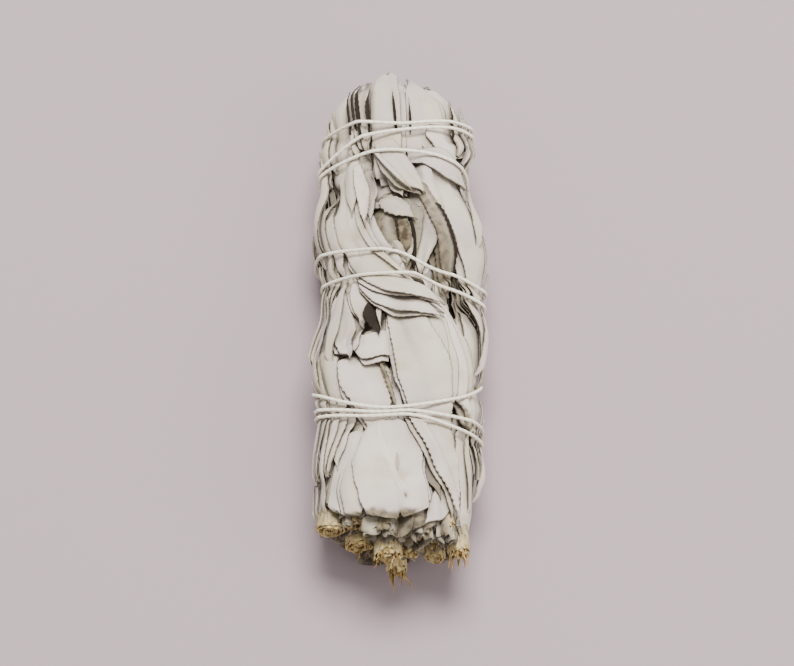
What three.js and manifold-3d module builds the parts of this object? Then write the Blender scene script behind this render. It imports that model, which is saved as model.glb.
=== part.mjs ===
// A dried white sage bundle: twelve leafy sprigs squeezed together and bound by one wound cotton string.
// The bundle lies on its flattened side. +Y runs from the cut stems to the leaf tips and +Z is up.
// Every size is in millimetres and every angle in degrees.

import * as THREE from "three";
import { mergeVertices } from "three/addons/utils/BufferGeometryUtils.js";
import Module from "manifold-3d";

const wasm = await Module();
wasm.setup();
const { Manifold } = wasm;

// ---- Driving dimensions ----

const HALF_WIDTH = 17.3; // of the bundle where it is fullest
const HEIGHT_SHARE = 0.81; // the bundle is this much lower than it is wide
const MIDDLE_ALONG = 48.4; // from the butt to the middle of the whole piece
const LEAF_THICKNESS = 0.62;
const CLEARANCE = 0.3; // between a leaf and what it is laid on
const ROOM = 0.2; // cut clear round a piece where another one would run into it
const STRING_RADIUS = 0.58;
const CORE_END = 90; // where the packed sprigs stop and only leaf tips go on

// ---- Small helpers ----

const radians = THREE.MathUtils.degToRad;
const mix = THREE.MathUtils.lerp;
const clamp = THREE.MathUtils.clamp;
const wrap = (angle) => ((angle % 360) + 360) % 360;

// A smooth curve through [position, value] knots, flat beyond its two ends.
function curveThrough(knots) {
  const last = knots.length - 1;
  const slope = (i) => {
    const [before, after] = [knots[Math.max(i - 1, 0)], knots[Math.min(i + 1, last)]];
    return (after[1] - before[1]) / (after[0] - before[0]);
  };
  return (position) => {
    const x = clamp(position, knots[0][0], knots[last][0]);
    let i = 0;
    while (i < last - 1 && x > knots[i + 1][0]) i++;
    const span = knots[i + 1][0] - knots[i][0];
    const t = (x - knots[i][0]) / span;
    const [t2, t3] = [t * t, t * t * t];
    return (
      (2 * t3 - 3 * t2 + 1) * knots[i][1] +
      (t3 - 2 * t2 + t) * slope(i) * span +
      (3 * t2 - 2 * t3) * knots[i + 1][1] +
      (t3 - t2) * slope(i + 1) * span
    );
  };
}

// A repeatable random number from 0 to 1.
function seeded(seed) {
  let state = seed >>> 0;
  return () => {
    state = (Math.imul(state, 1664525) + 1013904223) >>> 0;
    return state / 4294967296;
  };
}

function solidOf(geometry) {
  const bare = geometry.clone();
  for (const name of ["normal", "uv"]) bare.deleteAttribute(name);
  const merged = mergeVertices(bare, 1e-3);
  const solid = new Manifold(
    new wasm.Mesh({
      numProp: 3,
      vertProperties: new Float32Array(merged.attributes.position.array),
      triVerts: new Uint32Array(merged.index.array),
    }),
  );
  return solid;
}

function geometryOf(solid) {
  const { numProp, numVert, vertProperties, triVerts } = solid.getMesh();
  const positions = new Float32Array(numVert * 3);
  for (let i = 0; i < numVert; i++) {
    positions.set(vertProperties.subarray(i * numProp, i * numProp + 3), i * 3);
  }
  const geometry = new THREE.BufferGeometry();
  geometry.setAttribute("position", new THREE.BufferAttribute(positions, 3));
  geometry.setIndex(new THREE.BufferAttribute(new Uint32Array(triVerts), 1));
  geometry.computeVertexNormals();
  return geometry;
}

// The same geometry with each vertex moved to place(x, y, z).
function bent(geometry, place) {
  const position = geometry.attributes.position;
  for (let i = 0; i < position.count; i++) {
    const moved = place(position.getX(i), position.getY(i), position.getZ(i));
    position.setXYZ(i, moved.x, moved.y, moved.z);
  }
  return geometry;
}

// A thin closed sheet between two lattices of points, split into triangles alike on both faces.
function sheetGeometry(outer, inner) {
  const [rows, columns] = [outer.length, outer[0].length];
  const at = (side, j, k) => (side * rows + j) * columns + k;
  const index = [];
  const quad = (a, b, c, d) => index.push(a, c, b, a, d, c);
  for (let j = 0; j < rows - 1; j++) {
    for (let k = 0; k < columns - 1; k++) {
      quad(at(0, j, k), at(0, j, k + 1), at(0, j + 1, k + 1), at(0, j + 1, k));
      quad(at(1, j, k), at(1, j + 1, k), at(1, j + 1, k + 1), at(1, j, k + 1));
    }
    quad(at(0, j, 0), at(0, j + 1, 0), at(1, j + 1, 0), at(1, j, 0));
    quad(at(0, j + 1, columns - 1), at(0, j, columns - 1), at(1, j, columns - 1), at(1, j + 1, columns - 1));
  }
  for (let k = 0; k < columns - 1; k++) {
    quad(at(0, 0, k + 1), at(0, 0, k), at(1, 0, k), at(1, 0, k + 1));
    quad(at(0, rows - 1, k), at(0, rows - 1, k + 1), at(1, rows - 1, k + 1), at(1, rows - 1, k));
  }
  const geometry = new THREE.BufferGeometry();
  const points = [...outer.flat(), ...inner.flat()];
  geometry.setAttribute("position", new THREE.Float32BufferAttribute(points.flatMap((p) => p.toArray()), 3));
  geometry.setIndex(index);
  return geometry;
}

const boxesMeet = (a, b) => {
  const [first, second] = [a.boundingBox(), b.boundingBox()];
  return [0, 1, 2].every((i) => first.min[i] < second.max[i] && second.min[i] < first.max[i]);
};

// The solid with every cutter that reaches it taken away.
const cutBy = (solid, cutters) => {
  const near = cutters.filter((cutter) => boxesMeet(solid, cutter));
  return near.length ? solid.subtract(Manifold.union(near)) : solid;
};

const largest = (solid) =>
  solid.decompose().reduce((best, body) => (body.volume() > best.volume() ? body : best));

// ---- The string's route: how far along the bundle it runs, against turns round it ----
// A whole number of turns is the bundle's left side, and a quarter past it is the top.

const STRING_START = -0.12;
const STRING_END = 7.62;
const stringAlong = curveThrough([
  [-0.12, 26.5], [0, 25.8], [0.25, 23.7], [0.5, 22.6], [0.75, 24.6],
  [1, 27.4], [1.25, 25.1], [1.5, 25.3], [1.75, 29.5],
  [2, 32.6], [2.14, 27.8], [2.25, 26.5], [2.36, 28.6], [2.5, 34.8], [2.75, 47],
  [3, 57.2], [3.25, 55.4], [3.36, 53.8], [3.5, 51.6], [3.75, 56.5],
  [4, 62.6], [4.25, 59.2], [4.36, 55.6], [4.5, 55.3], [4.75, 69],
  [5, 80.6], [5.15, 83.4], [5.25, 83.9], [5.4, 81.8], [5.5, 79.8], [5.75, 80.4],
  [6, 82.2], [6.14, 85.4], [6.25, 88.2], [6.36, 90.0], [6.5, 90.0], [6.75, 90.2],
  [7, 91.2], [7.18, 90.2], [7.25, 90.4], [7.36, 91.8], [7.5, 91.8], [7.62, 90.4],
]);

// The bundle is nipped in to a waist under each turn, most of all underneath, where its weight lies on the bulges.
const WAIST_DEPTH = 0.9;
const WAIST_REACH = 5;
const UNDER_WAIST = 1.1; // deeper than elsewhere

function nip(along, theta) {
  let depth = 0;
  const partTurn = wrap(180 - theta) / 360;
  for (let turn = -1; turn <= STRING_END; turn++) {
    const turns = turn + partTurn;
    if (turns < STRING_START || turns > STRING_END) continue;
    const away = along - stringAlong(turns);
    depth = Math.max(depth, Math.exp(-((away / WAIST_REACH) ** 2)));
  }
  const underneath = Math.max(-Math.sin(radians(theta)), 0) ** 3;
  return depth * (WAIST_DEPTH + UNDER_WAIST * underneath);
}

// ---- The bundle's space: along from the butt, theta round it from the right side, height over its skin ----

const fullness = curveThrough([
  [-12, 1.03], [0, 1.02], [15, 0.985], [35, 0.995], [50, 1.0], [62, 0.985],
  [75, 0.91], [86, 0.89], [95, 0.94], [100, 0.88], [107, 0.66],
]);
const halfWidthAt = (along) => HALF_WIDTH * fullness(along);
const halfHeightAt = (along) => halfWidthAt(along) * HEIGHT_SHARE;
const swayAt = curveThrough([[-10, -1.5], [0, -1.5], [20, -1.2], [50, 0.0], [75, -0.4], [100, -0.8]]);

// How high the middle line runs over the surface that the bundle lies on.
const axisHeightAt = curveThrough([[0, 13.5], [20, 13.5], [45, 13.25], [82, 12.1], [105, 12.1]]);

function placed(along, theta, acrossX, acrossZ) {
  const squeeze = 1 - nip(along, theta) / (HALF_WIDTH * HEIGHT_SHARE);
  return new THREE.Vector3(
    swayAt(along) + acrossX * squeeze,
    along - MIDDLE_ALONG,
    axisHeightAt(along) + acrossZ * squeeze,
  );
}

// The underside is pressed flatter than the face: its sides are pushed down, its lowest line stays.
const UNDER_FLATNESS = 0.5;

function flattened(theta) {
  const below = Math.max(-Math.sin(radians(theta)), 0);
  return below > 0 ? 1 + UNDER_FLATNESS * (1 - below) : 1;
}

function skinSpot(along, theta, height) {
  const x = (halfWidthAt(along) + height) * Math.cos(radians(theta));
  const z = (halfHeightAt(along) + height) * Math.sin(radians(theta)) * flattened(theta);
  return placed(along, theta, x, z);
}

// ---- The sprigs' places in the cut end: x and z from the bundle's middle, stem radius, and how far it sticks out ----

const SPRIGS = [
  { x: -12.2, z: 4.4, radius: 2.9, out: -1.0, fibres: 0 },
  { x: -7.0, z: 7.4, radius: 2.2, out: -0.6, fibres: 0 },
  { x: -3.0, z: 9.0, radius: 1.5, out: 0.4, fibres: 0 },
  { x: -6.4, z: 1.0, radius: 2.8, out: 1.0, fibres: 2 },
  { x: -0.8, z: 4.4, radius: 2.7, out: 4.6, fibres: 5 },
  { x: 4.7, z: 6.6, radius: 2.3, out: 1.4, fibres: 0 },
  { x: 3.6, z: 1.0, radius: 2.2, out: 2.2, fibres: 2 },
  { x: 1.0, z: -3.6, radius: 2.0, out: 4.2, fibres: 5 },
  { x: 8.4, z: -2.7, radius: 2.1, out: 1.4, fibres: 0 },
  { x: 8.2, z: 2.4, radius: 2.1, out: 0.8, fibres: 3 },
  { x: 13.0, z: 2.8, radius: 2.2, out: 3.4, fibres: 5 },
  { x: 10.8, z: 6.6, radius: 1.7, out: -0.8, fibres: 3 },
];
const STEM_LENGTH = 74; // from the butt into the bundle
const CORE_HALF_WIDTH = 15.4; // of the packed sprigs' outline, drawn in the cut end
const CORE_HALF_HEIGHT = 12.0;
const CORE_START = 5.5;
const CORE_GAP = 0.5; // between two packed sprigs
const LOBE = 1.5; // how strongly each sprig bulges out of the packed core
const CORE_STEPS = 4;
const DISC_CORNERS = 16;

// The core lies this deep under the skin at the sides, and lower than the middle line: more leaves lie on top.
const coreDepth = curveThrough([[0, 2.2], [14, 3.6], [60, 4.0], [96, 4.0]]);
const coreDrop = curveThrough([[0, 0.2], [14, 0.8], [60, 0.8], [96, 0.6]]);

// A point of the packed core: x and z are where it lies in the cut end.
function coreSpot(along, x, z) {
  const [shareX, shareZ] = [x / CORE_HALF_WIDTH, z / CORE_HALF_HEIGHT];
  const theta = THREE.MathUtils.radToDeg(Math.atan2(shareZ, shareX));
  return placed(
    along,
    theta,
    shareX * (halfWidthAt(along) - coreDepth(along)),
    shareZ * (halfHeightAt(along) - coreDepth(along)) * flattened(theta) - coreDrop(along),
  );
}

// The part of a polygon on the near side of the line normal . point = limit.
function clipped(polygon, normal, limit) {
  const side = (p) => normal.dot(p) - limit;
  return polygon.flatMap((p, i) => {
    const next = polygon[(i + 1) % polygon.length];
    const [here, there] = [side(p), side(next)];
    const kept = here <= 0 ? [p] : [];
    return here <= 0 === there <= 0 ? kept : [...kept, p.clone().lerp(next, here / (here - there))];
  });
}

// Each sprig is pressed into the room that its neighbours leave it: a many-sided cell of the core.
function cellOutline(sprig) {
  const seed = new THREE.Vector2(sprig.x, sprig.z);
  const facing = Math.atan2(sprig.z / CORE_HALF_HEIGHT, sprig.x / CORE_HALF_WIDTH);
  let outline = Array.from({ length: DISC_CORNERS }, (_, i) => {
    const angle = (i / DISC_CORNERS) * 2 * Math.PI;
    const reach = Math.max(0.5, 1 - LOBE * (1 - Math.cos(angle - facing)) * (seed.length() > 6 ? 1 : 0.2));
    return new THREE.Vector2(CORE_HALF_WIDTH * reach * Math.cos(angle), CORE_HALF_HEIGHT * reach * Math.sin(angle));
  });
  for (const other of SPRIGS) {
    if (other === sprig) continue;
    const away = new THREE.Vector2(other.x, other.z).sub(seed);
    const limit =
      (other.x ** 2 + other.z ** 2 - seed.lengthSq() - other.radius ** 2 + sprig.radius ** 2) /
      (2 * away.length());
    outline = clipped(outline, away.clone().normalize(), limit - CORE_GAP / 2);
  }
  return outline;
}
const OUTLINES = SPRIGS.map(cellOutline);

function inside(outline, x, z) {
  return outline.every((p, i) => {
    const next = outline[(i + 1) % outline.length];
    return (next.x - p.x) * (z - p.y) - (next.y - p.y) * (x - p.x) >= 0;
  });
}

// For each degree round the core, how far it reaches, as a share of its ellipse, and which sprig is there.
const SEARCH_STEP = 0.02;
const RIM = Array.from({ length: 360 }, (_, theta) => {
  for (let share = 1; share > 0; share -= SEARCH_STEP) {
    const x = share * CORE_HALF_WIDTH * Math.cos(radians(theta));
    const z = share * CORE_HALF_HEIGHT * Math.sin(radians(theta));
    const sprig = OUTLINES.findIndex((outline) => inside(outline, x, z));
    if (sprig >= 0) return { share, sprig };
  }
  return { share: 0, sprig: 0 };
});
const rimAt = (theta) => RIM[Math.round(wrap(theta)) % 360];

// ---- The height map: how high the leaves laid so far stand over the skin ----

const MAP_START = -6;
const MAP_END = 108;
const MAP_ROWS = MAP_END - MAP_START + 1; // one for each millimetre
const MAP_COLUMNS = 120; // one for each 3 degrees
const COLUMN_STEP = 360 / MAP_COLUMNS;
const COLUMN_WIDTH = (2 * Math.PI * HALF_WIDTH * 0.9) / MAP_COLUMNS;

const heightMap = new Float64Array(MAP_ROWS * MAP_COLUMNS);
const ownerMap = new Int32Array(MAP_ROWS * MAP_COLUMNS); // the sprig that each place's top leaf grows from
const mapSlot = (row, column) => row * MAP_COLUMNS + ((column % MAP_COLUMNS) + MAP_COLUMNS) % MAP_COLUMNS;
for (let row = 0; row < MAP_ROWS; row++) {
  for (let column = 0; column < MAP_COLUMNS; column++) {
    const along = MAP_START + row;
    const missing = (1 - rimAt(column * COLUMN_STEP).share) * (halfHeightAt(along) - coreDepth(along));
    const drop = coreDrop(along) * Math.sin(radians(column * COLUMN_STEP));
    heightMap[mapSlot(row, column)] = -coreDepth(along) - missing - drop;
    ownerMap[mapSlot(row, column)] = rimAt(column * COLUMN_STEP).sprig;
  }
}

const coreMap = heightMap.slice();

// The highest ground within reach millimetres of a place.
function ground(along, theta, reach) {
  const [row, column] = [Math.round(along - MAP_START), Math.round(theta / COLUMN_STEP)];
  const [rowReach, columnReach] = [Math.round(reach), Math.round(reach / COLUMN_WIDTH)];
  let highest = -Infinity;
  for (let r = Math.max(row - rowReach, 0); r <= Math.min(row + rowReach, MAP_ROWS - 1); r++) {
    for (let c = column - columnReach; c <= column + columnReach; c++) {
      highest = Math.max(highest, heightMap[mapSlot(r, c)]);
    }
  }
  return highest;
}

const slotAt = (along, theta) =>
  mapSlot(clamp(Math.round(along - MAP_START), 0, MAP_ROWS - 1), Math.round(theta / COLUMN_STEP));

function raise(along, theta, height, owner) {
  const slot = slotAt(along, theta);
  if (height <= heightMap[slot]) return;
  heightMap[slot] = height;
  ownerMap[slot] = owner;
}

// ---- Leaves ----
// Each leaf runs from its root to its tip, both [along, theta]. width is its widest place, bow pushes its middle
// to its left, lift raises it over what it lies on, a folded leaf is narrow and thick, and a blunt one was cut or torn
// off at its end.

const LEAF_OUTLINE = curveThrough([[0, 0.3], [0.15, 0.68], [0.42, 1], [0.7, 0.86], [0.88, 0.52], [1, 0.1]]);
const BLUNT_OUTLINE = curveThrough([[0, 0.3], [0.15, 0.68], [0.42, 1], [0.84, 0.98], [1, 0.82]]);
const ROWS_AT = [0, 0.08, 0.25, 0.45, 0.65, 0.84, 1];
const UNDER_ROWS_AT = [0, 0.12, 0.4, 0.7, 1]; // for leaves that others cover
const WIDE_LEAF = 11; // from this width a leaf takes an extra column of facets
const LEAF_ROOT_DEPTH = 0.5; // how far a root goes into a leaf of its own sprig
const CORE_ROOT_DEPTH = 1.8; // and how far into the packed core
const ROOT_LIFT = 0.25; // how far a root stands over it
const ROOT_PATCH = 2; // millimetres round a root that belong to one sprig
const GROUND_REACH = 2;
const SETTLING = 3;

// The under-layer, by rule: each sprig that reaches the outside covers its own share of it, ring after ring.
const WIDEST_SHARE = 44; // degrees that one leaf can cover
const COVERED = [28, 148]; // degrees where the face leaves lie straight on the core

function underLeaves() {
  const random = seeded(7);
  const shares = SPRIGS.flatMap((_, index) => {
    const degrees = RIM.flatMap((rim, theta) => (rim.sprig === index ? [theta] : []));
    if (degrees.length < 12) return [];
    const from = degrees.find((theta) => rimAt(theta - 1).sprig !== index);
    const count = Math.ceil(degrees.length / WIDEST_SHARE);
    const share = degrees.length / count;
    return Array.from({ length: count }, (_, i) => ({ theta: wrap(from + share * (i + 0.5)), share }));
  });
  const bare = shares.filter(({ theta }) => theta < COVERED[0] || theta > COVERED[1]);
  return [12, 42, 74].flatMap((along) =>
    bare.map(({ theta, share }) => ({
      root: [along - 8 - 5 * random(), theta],
      tip: [along + 23 + 5 * random(), theta + 12 * (random() - 0.5)],
      width: 3 + share * 0.24,
      bow: 2 * (random() - 0.5),
      rowsAt: UNDER_ROWS_AT,
    })),
  );
}

// The leaves that cover the back and the underside, by rule: each ring starts further along.
function backLeaves() {
  const random = seeded(21);
  return [9, 46].flatMap((along, ring) =>
    [0, 1].map((i) => {
      const theta = 215 + 60 * i + 20 * random() + 14 * ring;
      const lean = 30 * (random() - 0.5);
      const down = random() > 0.5;
      const ends = [
        [along - 4 + 4 * random(), theta],
        [along + 32 + 6 * random(), theta + lean],
      ];
      return {
        root: down ? ends[1] : ends[0],
        tip: down ? ends[0] : ends[1],
        width: 9 + 5 * random(),
        bow: 4 * (random() - 0.5),
        folded: random() > 0.7,
      };
    }),
  );
}

const TIP_LEAVES = [
  { root: [79, 174], tip: [97.5, 171], width: 10, bow: 0, blunt: true },
  { root: [80, 210], tip: [97.5, 214], width: 11, bow: 0 },
  { root: [80, 352], tip: [99, 352], width: 10, bow: 0 },
  { root: [81, 142], tip: [100.5, 139], width: 9, bow: 0, blunt: true },
  { root: [82, 121], tip: [103, 124], width: 4.5, bow: 0.5, folded: true },
  { root: [83, 111], tip: [103, 113], width: 4.5, bow: 0.5, folded: true },
  { root: [82, 19], tip: [99, 18], width: 5, bow: 0, folded: true },
  { root: [83, 34], tip: [100, 34], width: 6, bow: 0, folded: true },
  { root: [82, 50], tip: [101, 52], width: 9, bow: 0, blunt: true },
  { root: [82, 86], tip: [104.5, 84], width: 6, bow: 0, folded: true },
  { root: [80, 62], tip: [105.5, 71], width: 10, bow: 0 },
  { root: [79, 98], tip: [104.5, 99], width: 7.5, bow: 0, blunt: true },
];

const FACE_LEAVES = [
  { root: [22, 186], tip: [1, 189], width: 8, bow: 0 },
  { root: [86, 184], tip: [63, 186], width: 7, bow: 0, lift: 0.3 },
  { root: [20, 133], tip: [2, 148], width: 7, bow: 0, blunt: true },
  { root: [19, 106], tip: [-0.5, 109], width: 8, bow: 0 },
  { root: [21, 119], tip: [0, 132], width: 8.5, bow: 0, blunt: true },
  { root: [22, 66], tip: [0, 60], width: 9, bow: 0 },
  { root: [24, 20], tip: [1.5, 14], width: 9, bow: 0 },
  { root: [46, 158], tip: [19, 166], width: 7, bow: 0, folded: true },
  { root: [40, 146], tip: [11, 142], width: 8, bow: -1 },
  { root: [50, 30], tip: [14, 2], width: 9, bow: 1 },
  { root: [52, 56], tip: [22, 18], width: 8, bow: -1, folded: true },
  { root: [50, 66], tip: [24, 30], width: 5, bow: 0, folded: true },
  { root: [38, 117], tip: [18, 100], width: 11, bow: 0 },
  { root: [49, 80], tip: [17, 46], width: 8, bow: -1 },
  { root: [14, 112], tip: [0, 110], width: 8, bow: 0, blunt: true },
  { root: [50, 93], tip: [2, 37], width: 10.5, bow: -1.5 },
  { root: [22, 98], tip: [-2.5, 83], width: 15, bow: 0, blunt: true },
  { root: [21, 80], tip: [2, 42], width: 4, bow: 0, folded: true },
  { root: [39.5, 98], tip: [38, 122], width: 7, bow: 0, blunt: true },
  { root: [54, 144], tip: [36, 125], width: 7.5, bow: 0 },
  { root: [78, 176], tip: [50, 166], width: 9, bow: 0 },
  { root: [62, 136], tip: [43, 118], width: 7, bow: 0 },
  { root: [76, 34], tip: [46, 16], width: 11, bow: 1 },
  { root: [76, 56], tip: [34, 4], width: 9, bow: 3, folded: true },
  { root: [87, 60], tip: [50, 23], width: 12, bow: 2.5 },
  { root: [76, 74], tip: [51, 47], width: 4.5, bow: 1, folded: true },
  { root: [82, 84], tip: [55.5, 69.5], width: 8, bow: 0.5 },
  { root: [56, 125], tip: [44, 60], width: 6.5, bow: -1.5 },
  { root: [80, 135], tip: [46, 62], width: 9.5, bow: -6.5 },
  { root: [82, 125], tip: [64.5, 114], width: 4.5, bow: 0, folded: true },
  { root: [82, 91], tip: [72.5, 86], width: 4.5, bow: 0 },
  { root: [87, 110], tip: [72.5, 68], width: 8, bow: 0 },
];

// The bunch lies on these four, two on each side of its weight, and on the leaves between them.
const REST_LEAVES = [
  { root: [34, 215], tip: [9, 246], width: 9, bow: 0, rowsAt: UNDER_ROWS_AT },
  { root: [34, 325], tip: [8, 294], width: 9, bow: 0, rowsAt: UNDER_ROWS_AT },
  { root: [56, 212], tip: [80, 243], width: 9, bow: 0, rowsAt: UNDER_ROWS_AT },
  { root: [56, 328], tip: [80, 297], width: 9, bow: 0, rowsAt: UNDER_ROWS_AT },
];

// Where a leaf's lattice of places lies on the skin: rows along it, columns across it.
function latticeOf(leaf, swell) {
  const [fromAlong, fromTheta] = leaf.root;
  const [toAlong, toTheta] = leaf.tip;
  const middle = radians((fromTheta + toTheta) / 2);
  const perDegree =
    radians(1) * halfWidthAt((fromAlong + toAlong) / 2) * Math.hypot(Math.sin(middle), HEIGHT_SHARE * Math.cos(middle));
  const [runAlong, runRound] = [toAlong - fromAlong, (toTheta - fromTheta) * perDegree];
  const length = Math.hypot(runAlong, runRound);
  const columns = leaf.folded ? 1 : leaf.width > WIDE_LEAF ? 3 : 2;
  return (leaf.rowsAt ?? ROWS_AT).map((u) => {
    const halfWidth = (leaf.width / 2) * (leaf.blunt ? BLUNT_OUTLINE : LEAF_OUTLINE)(u) + swell / 2;
    const stretch = u === 0 ? -swell / length : u === 1 ? swell / length : 0;
    return Array.from({ length: columns + 1 }, (_, k) => {
      const sideways = leaf.bow * 4 * u * (1 - u) + halfWidth * ((2 * k) / columns - 1);
      const along = fromAlong + runAlong * (u + stretch) - (runRound / length) * sideways;
      const round = runRound * (u + stretch) + (runAlong / length) * sideways;
      return [along, fromTheta + round / perDegree];
    });
  });
}

// The place nearest to a leaf's root where one sprig alone lies on top, for the leaf to grow from.
function rooted(leaf) {
  const [along, theta] = leaf.root;
  const offsets = [];
  for (let step = -5; step <= 5; step++) for (let turn = -6; turn <= 6; turn++) offsets.push([step, 3 * turn]);
  offsets.sort((a, b) => Math.hypot(a[0], a[1] / 3) - Math.hypot(b[0], b[1] / 3));
  for (const [step, turn] of offsets) {
    const place = [along + step, theta + turn];
    const owner = ownerMap[slotAt(...place)];
    const patch = [-1, 0, 1].flatMap((i) => [-1, 0, 1].map((k) => [place[0] + ROOT_PATCH * i, place[1] + 4 * ROOT_PATCH * k]));
    if (patch.every((spot) => ownerMap[slotAt(...spot)] === owner)) return { ...leaf, root: place, sprig: owner };
  }
  return { ...leaf, sprig: ownerMap[slotAt(along, theta)] };
}

// Lays a leaf on what is there: it is stiff, so it spans hollows, and it keeps clear of what it covers.
function lay(asked) {
  const leaf = rooted(asked);
  const lattice = latticeOf(leaf, 0);
  const thickness = LEAF_THICKNESS * (leaf.folded ? 1.5 : 1);
  const lift = leaf.lift ?? 0;
  const base = lattice.map((row, j) => row.map(([along, theta]) => ground(along, theta, GROUND_REACH) + lift * Math.min(j / 2, 1)));
  let heights = base;
  for (let pass = 0; pass < SETTLING; pass++) {
    heights = heights.map((row, j) =>
      row.map((height, k) => {
        const [before, after] = [heights[Math.max(j - 1, 0)][k], heights[Math.min(j + 1, heights.length - 1)][k]];
        return Math.max(base[j][k], (before + 2 * height + after) / 4);
      }),
    );
  }
  const outer = heights.map((row) => row.map((height) => height + CLEARANCE + thickness));
  const rootSlot = slotAt(...leaf.root);
  const rootHeight = heightMap[rootSlot];
  const rootDepth = rootHeight > coreMap[rootSlot] ? LEAF_ROOT_DEPTH : CORE_ROOT_DEPTH;
  outer[0] = outer[0].map(() => rootHeight + ROOT_LIFT);
  spread(lattice, outer, leaf.sprig);
  return { ...leaf, outer, thickness, rootDepth };
}

// Raises the height map under a laid leaf, all but its root.
const SPREAD_STEPS = 8;
function spread(lattice, outer, owner) {
  for (let j = 0; j < lattice.length - 1; j++) {
    for (let k = 0; k < lattice[0].length - 1; k++) {
      for (let step = 0; step < (SPREAD_STEPS + 1) ** 2; step++) {
        const [p, q] = [Math.floor(step / (SPREAD_STEPS + 1)) / SPREAD_STEPS, (step % (SPREAD_STEPS + 1)) / SPREAD_STEPS];
        const blend = (value) =>
          mix(mix(value(j, k), value(j + 1, k), p), mix(value(j, k + 1), value(j + 1, k + 1), p), q);
        const along = blend((a, b) => lattice[a][b][0]);
        const theta = blend((a, b) => lattice[a][b][1]);
        raise(along, theta, blend((a, b) => outer[a][b]), owner);
      }
    }
  }
}

// A laid leaf as a solid. A swell makes it that much bigger all round, to cut room for it.
function bladeSolid(leaf, swell) {
  const lattice = latticeOf(leaf, swell);
  const surface = (offset) =>
    lattice.map((row, j) => row.map(([along, theta], k) => skinSpot(along, theta, leaf.outer[j][k] + offset(j))));
  const outer = surface(() => swell);
  const inner = surface((j) => (j > 0 ? -leaf.thickness : -leaf.rootDepth - ROOT_LIFT) - swell);
  return solidOf(sheetGeometry(outer, inner));
}

// ---- Heart leaves: the tips that stand out of the packed core between the outer leaves ----

const HEART_ROOT = 7;
const HEART_WIDTH = 6.5;
const HEART_FOOT = 2.4; // its width where it comes out of the core

function heartSolid(index, swell) {
  const random = seeded(100 + index);
  const centre = middleOf(OUTLINES[index]);
  const tip = 97 + 5 * random();
  const facing = Math.atan2(centre.y, centre.x) + 0.9 * (random() - 0.5);
  const [sideX, sideZ] = [-Math.sin(facing), Math.cos(facing)];
  const rows = [0, 0.5, 0.75, 1];
  const surface = (offset) =>
    rows.map((u) => {
      const end = u === 0 ? -swell : u === 1 ? swell : 0;
      const along = mix(CORE_END - HEART_ROOT, tip, u) + end;
      const middle = coreSpot(along, centre.x * (1 - 0.12 * u), centre.y * (1 - 0.12 * u));
      const open = (HEART_WIDTH / 2) * LEAF_OUTLINE(0.25 + 0.7 * u);
      const halfWidth = mix(HEART_FOOT / 2, open, THREE.MathUtils.smoothstep(u, 0.5, 0.75)) + swell;
      return [-1, 0, 1].map((v) => {
        const bulge = offset + 0.6 * u * (1 - v * v);
        return new THREE.Vector3(
          middle.x + sideX * halfWidth * v + Math.cos(facing) * bulge,
          middle.y,
          middle.z + sideZ * halfWidth * v + Math.sin(facing) * bulge,
        );
      });
    });
  return solidOf(sheetGeometry(surface(LEAF_THICKNESS / 2 + swell), surface(-LEAF_THICKNESS / 2 - swell)));
}

// ---- Packed cores and stems ----

function coreSolid(index) {
  const length = CORE_END - CORE_START;
  const shape = new THREE.Shape(OUTLINES[index]);
  const prism = new THREE.ExtrudeGeometry(shape, { depth: length, steps: CORE_STEPS, bevelEnabled: false });
  return solidOf(bent(prism, (x, y, z) => coreSpot(CORE_END - z, x, y)));
}

// A cut stem is a thick bark wall round a softer pith that has shrunk back. Its woody foot soon gets thinner
// and runs to the middle of its sprig.
const STEM_SIDES = 7;
const FOOT_START = 2.5; // from here on the woody foot gets thinner
const FOOT_LENGTH = 14;
const FOOT_SHARE = 0.58; // of the cut end's radius, left where the foot ends
const TIP_SHARE = 0.3;
const PITH_SHARE = 0.5;
const PITH_DEPTH = 1.2;
const CHAMFER = 0.3;

const middleOf = (outline) =>
  outline.reduce((sum, p) => sum.add(p), new THREE.Vector2()).divideScalar(outline.length);

function stemMiddle(along, index) {
  const { x, z } = SPRIGS[index];
  const spot = new THREE.Vector2(x, z).lerp(middleOf(OUTLINES[index]), THREE.MathUtils.smoothstep(along, 0, FOOT_LENGTH));
  return coreSpot(along, spot.x, spot.y);
}

function stemSolid(index, swell) {
  const { radius, out } = SPRIGS[index];
  const end = swell ? [[0, -9], [radius + swell, -9]] : [
    [0, -out + PITH_DEPTH],
    [radius * PITH_SHARE, -out + PITH_DEPTH],
    [radius * PITH_SHARE, -out],
    [radius - CHAMFER, -out],
    [radius, -out + CHAMFER],
  ];
  const profile = [
    ...end,
    [radius + swell, FOOT_START],
    [radius * mix(1, FOOT_SHARE, 0.5) + swell, FOOT_LENGTH / 2],
    [radius * FOOT_SHARE + swell, FOOT_LENGTH],
    [radius * mix(FOOT_SHARE, TIP_SHARE, 0.5) + swell, (FOOT_LENGTH + STEM_LENGTH) / 2],
    [radius * TIP_SHARE + swell, STEM_LENGTH + swell],
    [0, STEM_LENGTH + swell],
  ];
  const points = profile.map(([across, along]) => new THREE.Vector2(across, along));
  return solidOf(
    bent(new THREE.LatheGeometry(points, STEM_SIDES), (px, py, pz) => {
      const middle = stemMiddle(py, index);
      return new THREE.Vector3(middle.x + px, middle.y, middle.z + pz);
    }),
  );
}

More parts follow.
